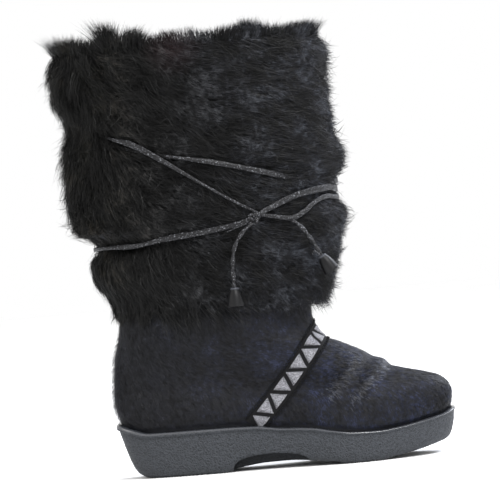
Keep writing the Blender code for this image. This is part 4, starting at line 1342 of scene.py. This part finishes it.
def comb(locks, hairs_each, spread, crossings, length_share=1.0, lift_share=1.0, wild=0.14):
    """Hair paths and the directions out of the fur, at each hair's crossings."""
    pick = np.repeat(np.arange(len(locks["turn"])), hairs_each)
    count = len(pick)
    side_turn = np.where(np.sin(2 * math.pi * locks["turn"][pick]) > 0, -1.0, 1.0)
    off_round = rng.normal(0, spread, count)
    off_up = rng.normal(0, spread, count)
    length = locks["length"][pick] * rng.uniform(0.75, 1.12, count) * length_share
    lift = locks["lift"][pick] * rng.uniform(0.40, 1.15, count) * lift_share
    closing = locks["close"][pick]
    angle = locks["angle"][pick] + rng.normal(0, wild, count)
    sway = locks["sway"][pick] + rng.normal(0, wild, count)
    turn = locks["turn"][pick] + off_round / SHAFT_PERIMETER
    share = locks["share"][pick] + off_up / BOOT_HEIGHT
    keep = np.linspace(0, STEPS, crossings).round().astype(int)
    paths, normals = [], []
    for step in range(STEPS + 1):
        t = step / STEPS
        if step:
            course = angle + sway * t
            stride = length / STEPS
            pull = closing * stride / np.maximum(length, 1e-6)
            onward = side_turn * stride * np.cos(course) - off_round * pull
            turn = turn + onward / SHAFT_PERIMETER
            share = share - (stride * np.sin(course) + off_up * pull) / BOOT_HEIGHT
        if step in keep:
            dip, near = lace_dip(turn, share)
            at_front = np.clip(4 * np.cos(2 * math.pi * turn) - 3, 0, 1)
            rise = lift * (1 - (1 - t) ** LEVELLING) + FRONT_RISE * at_front * t * t
            height = mix(rise, np.minimum(rise, HELD_SHARE * HAIR_DEPTH), near)
            point, normal = shaft_place(turn, share, HAIR_DEPTH + dip - height)
            paths.append(point)
            normals.append(normal)
    return np.stack(paths, axis=1), np.stack(normals, axis=1)


# %% The shaft's fur
HAIR_WIDTH = 0.00034
# widths of a strip at its crossings, as shares of its full width, and its twist in radians
LONG_TAPER = (0.75, 1.0, 0.62)
LONG_TWIST = 0.55


def grow_fur(name, locks, hairs, spread, width, crossings, **shape):
    """About so many hairs, shared out among the locks."""
    each = round(hairs / len(locks["turn"]))
    paths, normals = comb(locks, each, spread, crossings, **shape)
    count = len(paths)
    sides = strip_sides(paths, normals, rng.normal(0, LONG_TWIST, count))
    widths = width * rng.uniform(*WIDTH_RANGE, count)
    hair_object(name, paths, sides, widths, LONG_TAPER, long_hair)


LOCK_SPREAD = 0.0032
HAIRS_PER_BAND = 22000
# shares of the height from which and to which a band is rooted
FUR_BANDS = (
    (0.378, 0.53, "fur_low"), (0.53, 0.69, "fur_middle"), (0.69, 0.83, "fur_upper"),
    (0.83, 0.965, "fur_top"),
)
for low, high, name in FUR_BANDS:
    grow_fur(name, locks_of(*scatter_locks(low, high)), HAIRS_PER_BAND, LOCK_SPREAD, HAIR_WIDTH, 4)

# %% [markdown]
# Over the locks lies a second, finer coat of shorter hairs. They stand higher and point more
# ways, which breaks up the locks and gives the fluffy, spiky outline.

# %% The finer coat
FLUFF_HAIRS = 46000
FLUFF_SPREAD = 0.0055
grow_fur(
    "fur_fluff", locks_of(*scatter_locks(0.378, 0.950)), FLUFF_HAIRS, FLUFF_SPREAD,
    HAIR_WIDTH * 0.8, 3, length_share=0.55, lift_share=1.15, wild=0.55,
)

# %% [markdown]
# Round the collar the fur stands up from the rolled edge and hides it. Its crest is ragged,
# and it stands higher in a few tufts where the photograph shows them.

# %% The collar's fur
RIM_HAIRS = 11000
# turn, height over the crest in metres, and width as a turn
RIM_TUFTS = (
    (0.545, 0.0050, 0.020), (0.651, 0.0120, 0.007), (0.682, 0.0060, 0.008),
    (0.830, 0.0030, 0.030), (0.980, 0.0030, 0.015),
)
# height of the crest under the boot's height, and its two waves: height and number round
CREST_DROP = 0.0015
CREST_WAVES = ((0.0012, 11, 0), (0.0010, 29, 1))
# a quarter of the hairs gather in the tufts, within this share of a tuft's width
TUFT_GATHER = 0.7
EDGE_ROLL = 0.004
# leans as shares of the length: outward at the outer edge, how much less at the inner one,
# round the collar in nine swirls, and the scatter
LEAN_OUT = 0.42
LEAN_BACK = 0.75
SWIRL = 0.25
LEAN_SCATTER = 0.22
# the hair's way up and its way out at four crossings, as shares
RIM_CURL = ((0.0, 0.0), (0.35, 0.20), (0.70, 0.58), (1.0, 1.0))
RIM_TAPER = (1.0, 1.0, 0.62)


def rim_fur(count):
    turn = rng.uniform(0, 1, count)
    gathered = turn[:count // 4]
    tufted = rng.choice(len(RIM_TUFTS), count // 4)
    for k, (place, _, width) in enumerate(RIM_TUFTS):
        chosen = tufted == k
        gathered[chosen] = rng.normal(place, width * TUFT_GATHER, np.sum(chosen))
    inward = rng.uniform(0, 1, count) ** 1.5
    outer, normal = shaft_place(turn, np.full(count, SKIN_TO), HAIR_DEPTH)
    base = mix(outer, inner_ring(1.0, turn), inward[:, None])
    base[:, 2] += EDGE_ROLL * np.sin(math.pi * inward)
    crest = np.full(count, BOOT_HEIGHT - CREST_DROP)
    for height, waves, shift in CREST_WAVES:
        crest += height * np.sin(2 * waves * math.pi * turn + shift)
    for place, height, width in RIM_TUFTS:
        crest += height * np.exp(-(((turn - place) / width) ** 2))
    length = (crest - base[:, 2]) * rng.uniform(0.70, 1.05, count)
    around = np.cross((0, 0, 1), normal) * np.sin(9 * turn * 2 * math.pi)[:, None] * SWIRL
    lean = normal * (LEAN_OUT - LEAN_BACK * inward)[:, None] + around
    lean = (lean + rng.normal(0, LEAN_SCATTER, (count, 3)) * (1, 1, 0)) * length[:, None]
    paths = [base + lean * out + np.outer(length * up, (0, 0, 1)) for up, out in RIM_CURL]
    paths = np.stack(paths, axis=1)
    sides = strip_sides(paths, np.repeat(normal[:, None], 4, axis=1), rng.normal(0, 0.5, count))
    widths = HAIR_WIDTH * rng.uniform(*WIDTH_RANGE, count)
    hair_object("fur_rim", paths, sides, widths, RIM_TAPER, long_hair)


rim_fur(RIM_HAIRS)

# %% [markdown]
# ## The lace round the shaft
# A flat thong is wound round the fur: one length runs low round the back, one passes under,
# and one crosses over. A rounded section is swept along each, tilted a little from place to
# place as soft leather is, and sunk where the fur has closed over it.

# %% Windings of the lace
LACE_STEP = 0.0022
SUNK = 0.0045
# two waves of the tilt: radians, and radians of the wave at each step
TILTS = ((0.16, 0.21, 0), (0.10, 0.077, 1))
# half of the section: shares of the half width and of the thickness
LACE_SECTION = ((1.0, 0.2), (1.0, 0.7), (0.78, 1.0), (0.0, 1.08), (-0.78, 1.0), (-1.0, 0.7))
LACE_UNDERSIDE = ((-1.0, 0.2), (-0.8, 0.0), (0.0, 0.0), (0.8, 0.0))


def winding(name, route, over, widths, stretches):
    """A length of lace. widths gives its width at turns, as shares of the full width."""
    places = [
        Vector((turn * SHAFT_PERIMETER, share * BOOT_HEIGHT, depth)) for turn, share, depth in route
    ]
    steps = np.array(smooth_route(places, LACE_STEP))
    turns = steps[:, 0] / SHAFT_PERIMETER
    points, normals = shaft_place(turns, steps[:, 1] / BOOT_HEIGHT, steps[:, 2])
    points = points + normals * (over - SUNK * covered_share(turns, stretches))[:, None]
    line = [Vector(point) for point in points]
    frames = []
    for k, normal in enumerate(normals):
        along, up = heading(line, k), Vector(normal)
        up = (up - along * up.dot(along)).normalized()
        side = along.cross(up)
        tilt = sum(size * math.sin(k * pace + shift) for size, pace, shift in TILTS)
        c, s = math.cos(tilt), math.sin(tilt)
        frames.append((side * c + up * s, up * c - side * s))

    def section(k):
        share = float(np.interp(turns[k], *zip(*widths)))
        wide = LACE_WIDTH / 2 * share * (0.96 + 0.06 * math.sin(k * 0.33))
        thick = LACE_THICKNESS * (0.55 + 0.30 * share)
        return [(a * wide, b * thick) for a, b in (*LACE_UNDERSIDE, *LACE_SECTION)]

    made = swept(name, line, section, lace_leather, frames)
    print(name, "points along:", len(line))
    return made


# turn, and the lace's width there as a share of its full width
LOW_WIDTHS = (
    (-0.20, 0.75), (-0.12, 1.10), (-0.04, 1.10), (0.05, 0.90), (0.58, 0.60),
    (0.63, 0.85), (0.66, 0.70), (0.70, 1.00), (0.76, 0.95), (0.80, 0.60),
)
UNDER_WIDTHS = ((-0.19, 0.55), (-0.15, 0.80), (-0.08, 0.75), (0.05, 0.90), (0.72, 0.60))
OVER_WIDTHS = (
    (-0.29, 0.30), (-0.25, 0.80), (-0.17, 0.90), (0.05, 0.90), (0.640, 0.50),
    (0.665, 1.00), (0.715, 0.80), (0.735, 0.46), (0.81, 0.38),
)
lace_low = winding("lace_low", LOW_RING, 0.0002, LOW_WIDTHS, LOW_COVERED)
winding("lace_under", UNDER_LENGTH, 0.0006, UNDER_WIDTHS, UNDER_COVERED)
winding("lace_over", OVER_LENGTH, 0.0012, OVER_WIDTHS, OVER_COVERED)
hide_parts("lace_wraps")

# %% [markdown]
# The tie is a threefold loop of the same thong, drawn tight over the crossing.

# %% The tie
KNOT_CENTRE = Vector((0.0047, -0.0672, 0.1985))
KNOT_SIZE = 0.0105
KNOT_CORD = 0.0026
KNOT_STEPS = 96
KNOT_SIDES = 10
# half widths of the loop's section
KNOT_WIDE = 0.0014
KNOT_THIN = 0.0008


def tie():
    spread = (KNOT_SIZE - KNOT_CORD) / 6
    line = []
    for k in range(KNOT_STEPS):
        t = 2 * math.pi * k / KNOT_STEPS
        x = spread * (math.sin(t) + 2 * math.sin(2 * t))
        z = spread * (math.cos(t) - 2 * math.cos(2 * t))
        line.append(KNOT_CENTRE + Vector((x, KNOT_CORD * 0.7 * math.sin(3 * t), z)))
    points = []
    for k, point in enumerate(line):
        along = (line[(k + 1) % KNOT_STEPS] - line[k - 1]).normalized()
        side = along.cross(Vector((0, 1, 0))).normalized()
        up = along.cross(side)
        points += [point + side * a + up * b for a, b in ellipse(KNOT_WIDE, KNOT_THIN, KNOT_SIDES)]
    faces = skin_faces(KNOT_STEPS, KNOT_SIDES, closed=True)
    return mesh_object("lace_tie", points, faces, lace_leather)


knot = tie()
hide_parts("lace_knot")

# %% [markdown]
# The lace frays: a thin tag stands off beside the tie, and a curl sits on the front bell.

# %% Frayed ends
FRAY_STEP = 0.0008
FRAY_SECTION = ((-0.0006, 0.0), (0.0, 0.0003), (0.0006, 0.0), (0.0, -0.0003))
FRAYS = {
    "frayed_tag": (
        (-0.0010, -0.0705, 0.1950), (-0.0060, -0.0725, 0.1932), (-0.0120, -0.0732, 0.1915),
        (-0.0177, -0.0735, 0.1896),
    ),
    "frayed_curl": (
        (0.0560, -0.0440, 0.1625), (0.0528, -0.0462, 0.1658), (0.0500, -0.0472, 0.1685),
        (0.0480, -0.0474, 0.1682), (0.0478, -0.0472, 0.1664),
    ),
}
for name, points in FRAYS.items():
    line = smooth_route(points, FRAY_STEP)
    frames = carried_frames(line, (0, 0, 1))
    fray = swept(name, line, lambda k: FRAY_SECTION, lace_leather, frames)

# %% [markdown]
# ## Short hair of the foot
# The foot's hair is 4.5 mm long and lies close. Roots are scattered over the grid, and each hair
# runs down the last toward the sole and the toe. On the ridges of the folds some hair is painted
# paler: a painted sheen, where light catches the nap.

# %% Combing short hair
def blended(grid, r0, c0, c1, down, across):
    """Values between four neighbours of a grid."""
    low = grid[r0, c0] * (1 - across) + grid[r0, c1] * across
    high = grid[r0 + 1, c0] * (1 - across) + grid[r0 + 1, c1] * across
    return low * (1 - down) + high * down


def grid_sample(grid, row, column):
    """Values of a grid between its points. Columns wrap round."""
    rings, count = grid.shape[:2]
    row = np.clip(row, 0, rings - 1.001)
    r0, c0 = row.astype(int), np.floor(column).astype(int)
    down, across = (row - r0)[:, None], (column - c0)[:, None]
    return blended(grid, r0, c0 % count, (c0 + 1) % count, down, across)


def roots_on(grid, count):
    """Evenly scattered rows and columns on a grid, by the area of its cells."""
    across = np.linalg.norm(np.roll(grid, -1, axis=1) - grid, axis=2)[:-1]
    up = np.linalg.norm(np.diff(grid, axis=0), axis=2)
    area = (across * up).ravel()
    cells = rng.choice(area.size, count, p=area / area.sum())
    rows, columns = np.divmod(cells, grid.shape[1])
    return rows + rng.uniform(0, 1, count), columns + rng.uniform(0, 1, count)


# radians by which the hair turns to the front, and their scatter
SHORT_LEAN = 0.35
SHORT_SCATTER = 0.16
# how high the tips stand, as shares of the hair's length: everywhere, and more at the heel
LIE = 0.12
RUFFLE = 0.75
# shares of the way along and of the rise at the crossings
SHORT_CURL = ((0.0, 0.0), (0.5, 0.75), (1.0, 1.0))


def comb_short(rows, columns, length):
    """Paths of short hairs that run down the foot and turn to the front."""
    root = grid_sample(foot, rows, columns)
    normal = unit(grid_sample(foot_normals, rows, columns))
    below = grid_sample(foot, rows - 1.5, columns)
    above = grid_sample(foot, rows + 0.5, columns)
    down = unit(below - above)
    down = unit(down - normal * np.sum(down * normal, axis=1, keepdims=True))
    across = np.cross(normal, down)
    forward = np.sign(across[:, :1])
    angle = SHORT_LEAN + rng.normal(0, SHORT_SCATTER, len(rows))
    way = unit(down * np.cos(angle)[:, None] + across * forward * np.sin(angle)[:, None])
    at_heel = np.clip((HEEL_X + 0.012 - root[:, 0]) / 0.008, 0, 1)
    stand = length * (LIE + RUFFLE * at_heel * rng.uniform(0.1, 1.0, len(rows)))
    paths = [
        root + way * (length * t)[:, None] + normal * (rise * stand)[:, None]
        for t, rise in SHORT_CURL
    ]
    return np.stack(paths, axis=1), np.repeat(normal[:, None], 3, axis=1)


SHORT_LENGTH = 0.0045
SHORT_WIDTH = 0.00026
FOOT_HAIRS = 50000
# the row of the foot's grid at which the hair starts, just over the lip
LIP_ROW = 3


def short_coat(name, rows, columns, finish):
    count = len(rows)
    places = grid_sample(foot, rows, columns)
    stations = np.clip((places[:, 0] - HEEL_X) / SOLE_LENGTH, 0, 1)
    room = np.maximum(places[:, 2] - lip_height(stations), 0.0004)
    length = np.clip(SHORT_LENGTH * rng.uniform(0.6, 1.25, count), 0.0003, room)
    paths, normals = comb_short(rows, columns, length)
    sides = strip_sides(paths, normals, rng.normal(0, 0.25, count))
    widths = SHORT_WIDTH * rng.uniform(*WIDTH_RANGE, count)
    hair_object(name, paths, sides, widths, (0.9, 0.75), finish)


rows, columns = roots_on(foot[LIP_ROW:], FOOT_HAIRS)
short_coat("foot_hair", rows + LIP_ROW, columns, short_hair)

# %% [markdown]
# The hair on the two fold bands is painted pale: a painted sheen, where light catches the nap on
# the ridges. More roots are scattered there, and those on the bands get this paler hair.

# %% Painted sheen on the folds
SHEEN_ROOTS = 60000
# the ridges among the folds, on which the sheen is painted
RIDGES = VAMP_FOLDS[0], VAMP_FOLDS[2]
# how much of the paler hair of painted sheen is kept in the barest and more in the fullest patches
BARE_SHARE = 0.45
PATCH_SHARE = 0.50


def sheen_bands(points):
    """How much painted sheen a place of the foot gets, from 0 to 1."""
    sheen_share = np.zeros(len(points))
    for start, end, width, _ in RIDGES:
        sheen_share = np.maximum(sheen_share, np.exp(-((off_fold(points, start, end) / width) ** 2)))
    return sheen_share


rows, columns = roots_on(foot[LIP_ROW:], SHEEN_ROOTS)
rows = rows + LIP_ROW
places = grid_sample(foot, rows, columns)
x, z = places[:, 0], places[:, 2]
patchy = 0.5 + 0.5 * np.sin(x * 900 + z * 1400) * np.sin(z * 700)
sheen_share = sheen_bands(places) * (BARE_SHARE + PATCH_SHARE * patchy)
kept = rng.uniform(0, 1, len(rows)) < sheen_share
short_coat("painted_sheen_hair", rows[kept], columns[kept], painted_sheen_hair)

# %% [markdown]
# ## The braid
# A tape of silver and black is sewn over the instep from lip to lip. Its path is found by
# casting rays from inside the foot in a slanted plane, so it lies true on the last. Places
# on it are then named by the way along it and across it.

# %% The braid's ground
BRAID_WIDTH = 0.0110
TRIM_WIDTH = 0.020
BRAID_STEPS = 260
# how far its line bows, and how far from its middle it has bowed by that much
BRAID_BOW = 0.0021
BRAID_REACH = 0.045
# rays start this far behind the braid's middle, and sweep between these angles
RAY_START = 0.020
RAY_ANGLES = np.linspace(math.radians(-62), math.radians(242), BRAID_STEPS)
BRAID_OFFSETS = np.linspace(-TRIM_WIDTH / 2, TRIM_WIDTH / 2, 15)
foot_faces = skin_faces(*foot.shape[:2])
braid_tree = BVHTree.FromPolygons([Vector(point) for point in foot.reshape(-1, 3)], foot_faces)


def braid_line(offset):
    """Points on the foot's skin along the braid, moved by an offset across it."""
    way = Vector((math.cos(BAND_LEAN), 0, math.sin(BAND_LEAN)))
    across = Vector((-math.sin(BAND_LEAN), 0, math.cos(BAND_LEAN)))
    middle_x = HEEL_X + BAND_MIDDLE[0] * SOLE_LENGTH
    centre = Vector((middle_x, 0, BAND_MIDDLE[1] * SEAM_HEIGHT))
    inside = centre - way * RAY_START + across * offset
    points, normals = [], []
    for angle in RAY_ANGLES:
        ray = Vector((0, -1, 0)) * math.cos(angle) + way * math.sin(angle)
        first = braid_tree.ray_cast(inside, ray)[0] or inside
        bow = across * (BRAID_BOW * ((first - centre).dot(way) / BRAID_REACH) ** 2)
        hit = braid_tree.ray_cast(inside + bow, ray)
        points.append(hit[0] if hit[0] else inside + ray * 0.05)
        outward = hit[1] if hit[1] else ray
        normals.append(outward if outward.dot(ray) > 0 else -outward)
    return np.array(points), np.array(normals)


lines = [braid_line(offset) for offset in BRAID_OFFSETS]
braid_points = np.stack([line[0] for line in lines], axis=1)
braid_normals = unit(np.stack([line[1] for line in lines], axis=1))
middle_line = braid_points[:, len(BRAID_OFFSETS) // 2]
stretches = np.linalg.norm(np.diff(middle_line, axis=0), axis=1)
braid_walk = np.concatenate(([0], np.cumsum(stretches)))
print("braid length in mm:", round(1000 * braid_walk[-1], 1))


def braid_place(along, across, height):
    """A point of the braid by way along, way across and height over the skin."""
    row = np.interp(along, braid_walk, np.arange(BRAID_STEPS))
    column = (np.asarray(across) / TRIM_WIDTH + 0.5) * (len(BRAID_OFFSETS) - 1)
    r0 = np.clip(row.astype(int), 0, BRAID_STEPS - 2)
    c0 = np.clip(column.astype(int), 0, len(BRAID_OFFSETS) - 2)
    shares = (row - r0)[..., None], (column - c0)[..., None]
    point = blended(braid_points, r0, c0, c0 + 1, *shares)
    normal = blended(braid_normals, r0, c0, c0 + 1, *shares)
    return point + unit(normal) * np.asarray(height)[..., None]


# %% [markdown]
# The braid starts and ends where it goes behind the sole's lip, found by height.

# %% Ends of the braid
CLEAR_OF_LIP = 0.0006


def braid_ends():
    stations = (middle_line[:, 0] - HEEL_X) / SOLE_LENGTH
    over_lip = np.flatnonzero(middle_line[:, 2] > lip_height(stations) + CLEAR_OF_LIP)
    return braid_walk[over_lip[0]], braid_walk[over_lip[-1]]


braid_from, braid_to = braid_ends()
print("braid runs from", round(1000 * braid_from, 1), "to", round(1000 * braid_to, 1), "mm")

# %% [markdown]
# Cotton tape makes the black ground, with a scalloped picot edge: a small loop of cord every
# 3 mm down both sides. The silver triangles are woven in lurex, one row of thread after
# another, so each triangle is a stack of thin rolls, shorter toward its point.

# %% Materials of the braid
cotton = grained(
    "black cotton tape", 0.85, {"Scale": per_metre(0.9), "Detail": 3.0},
    ((0.3, "#050506"), (0.7, "#101012")),
    strength=0.7, depth=0.0005, Specular_IOR_Level=0.2,
)
lurex = grained(
    "silver lurex thread", 0.45, {"Scale": per_metre(0.8), "Detail": 2.0},
    ((0.36, "#3f3f43"), (0.5, "#7d7d83"), (0.66, "#a9a9ae")),
    strength=0.5, depth=0.0004, IOR=1.5, Metallic=0.15,
)

# %% [markdown]
# The tape is a thin slab on the braid's ground, a little lower toward its two edges.

# %% The tape
TAPE_HALF = TRIM_WIDTH / 2 * 0.80
TAPE_STEP = 0.0015
TAPE_COLUMNS = 13
# heights over the skin of its middle and its underside, and the drop at its edges
TAPE_TOP = 0.0011
TAPE_UNDER = -0.0004
TAPE_DROP = 0.0006


def braid_tape():
    alongs = np.arange(braid_from, braid_to, TAPE_STEP)
    acrosses = np.linspace(-TAPE_HALF, TAPE_HALF, TAPE_COLUMNS)
    grid_a, grid_b = np.meshgrid(alongs, acrosses, indexing="ij")
    edge = np.abs(grid_b) / TAPE_HALF
    high = braid_place(grid_a, grid_b, TAPE_TOP - TAPE_DROP * edge**6)
    low = braid_place(grid_a, grid_b, np.full_like(grid_b, TAPE_UNDER))
    rows, columns = grid_a.shape
    points = np.concatenate((high.reshape(-1, 3), low.reshape(-1, 3)))
    shift = rows * columns
    faces = []
    for i in range(rows - 1):
        for j in range(columns - 1):
            a = i * columns + j
            face = (a, a + 1, a + columns + 1, a + columns)
            faces += [face, tuple(corner + shift for corner in face[:1] + face[:0:-1])]
        for j, flip in ((0, False), (columns - 1, True)):
            a = i * columns + j
            wall = (a, a + columns, a + columns + shift, a + shift)
            faces.append(wall[::-1] if flip else wall)
    for i, flip in ((0, True), (rows - 1, False)):
        for j in range(columns - 1):
            a = i * columns + j
            wall = (a, a + 1, a + 1 + shift, a + shift)
            faces.append(wall if flip else wall[::-1])
    return mesh_object("braid_tape", points, faces, cotton)


tape = braid_tape()
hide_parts("braid_band")
print("tape faces:", len(tape.data.polygons))

# %% [markdown]
# Threads are short rolls, closed and slimmer at both ends, that follow the ground.

# %% Rolls of thread
ROLL_END = 0.55


def thread_rolls(name, starts, ends, height, radius, finish, segments=4, sides=6):
    """Thin rolls between places given by way along and way across the braid."""
    starts, ends = np.array(starts), np.array(ends)
    t = np.linspace(0, 1, segments + 1)[None, :, None]
    line = starts[:, None] * (1 - t) + ends[:, None] * t
    rise = np.full(line.shape[:2], height)
    centre = braid_place(line[..., 0], line[..., 1], rise)
    above = braid_place(line[..., 0], line[..., 1], rise + 0.001)
    up = unit(above - centre)
    along = unit(np.gradient(centre, axis=1))
    side = unit(np.cross(along, up))
    taper = np.array([ROLL_END] + [1.0] * (segments - 1) + [ROLL_END])[None, :, None]
    rings = [centre + (side * a + up * b) * radius * taper for a, b in ellipse(1, 1, sides)]
    points = np.stack(rings, axis=2).reshape(-1, 3)
    last = segments * sides
    roll_faces = skin_faces(segments + 1, sides)
    roll_faces += [tuple(range(sides))[::-1], tuple(range(last, last + sides))]
    faces = []
    for base in range(0, len(points), last + sides):
        faces += [tuple(corner + base for corner in face) for face in roll_faces]
    made = mesh_object(name, points, faces, finish)
    print(name, "faces:", len(faces))


# %% [markdown]
# The triangles stand alternately on either edge, a pair every 21.7 mm. Each is 14.2 mm along
# its edge and reaches nearly across, and black shows about 2 mm wide between neighbours. Its
# threads run along the tape.

# %% Silver triangles
PAIR_PITCH = 0.0217
TRIANGLE_BASE = 0.0142
FIRST_TRIANGLE = 0.0066
THREAD_PITCH = 0.00095
THREAD_RADIUS = THREAD_PITCH * 0.56
THREAD_HEIGHT = 0.0014
SHORTEST_THREAD = 0.0008


def silver_triangles():
    starts, ends = [], []
    rows = int(BRAID_WIDTH / THREAD_PITCH)
    count = int((braid_to - braid_from) / (PAIR_PITCH / 2)) + 1
    for number in range(count):
        centre = braid_from + FIRST_TRIANGLE + number * PAIR_PITCH / 2
        side = -1 if number % 2 == 0 else 1
        for row in range(rows):
            up = (row + 0.5) / rows
            across = side * BRAID_WIDTH / 2 * (1 - 2 * up)
            half = TRIANGLE_BASE / 2 * (1 - up * 0.97)
            first = max(centre - half, braid_from)
            last = min(centre + half, braid_to)
            if last - first > SHORTEST_THREAD:
                starts.append((first, across))
                ends.append((last, across))
    thread_rolls("silver_triangles", starts, ends, THREAD_HEIGHT, THREAD_RADIUS, lurex)


silver_triangles()

# %% [markdown]
# Each picot is half a ring of six short rolls that stands out from the edge of the tape.

# %% Picot edges
PICOT_PITCH = 0.0030
PICOT_STEPS = 6
# half the width of a loop along the edge, how far it stands out, and from where
PICOT_HALF = 0.0013
PICOT_REACH = 0.0019
PICOT_FROM = TRIM_WIDTH / 2 * 0.78
PICOT_RADIUS = 0.00055
PICOT_HEIGHT = 0.0011


def picot_edges():
    places = []
    for side in (-1, 1):
        for k in range(int((braid_to - braid_from) / PICOT_PITCH)):
            along = braid_from + (k + 0.5) * PICOT_PITCH
            loop = []
            for step in range(PICOT_STEPS + 1):
                angle = math.pi * step / PICOT_STEPS
                out = PICOT_FROM + PICOT_REACH * math.sin(angle)
                loop.append((along - PICOT_HALF * math.cos(angle), side * out))
            places += zip(loop, loop[1:])
    starts, ends = zip(*places)
    thread_rolls(
        "picot_edges", starts, ends, PICOT_HEIGHT, PICOT_RADIUS, cotton, segments=1, sides=5,
    )


picot_edges()
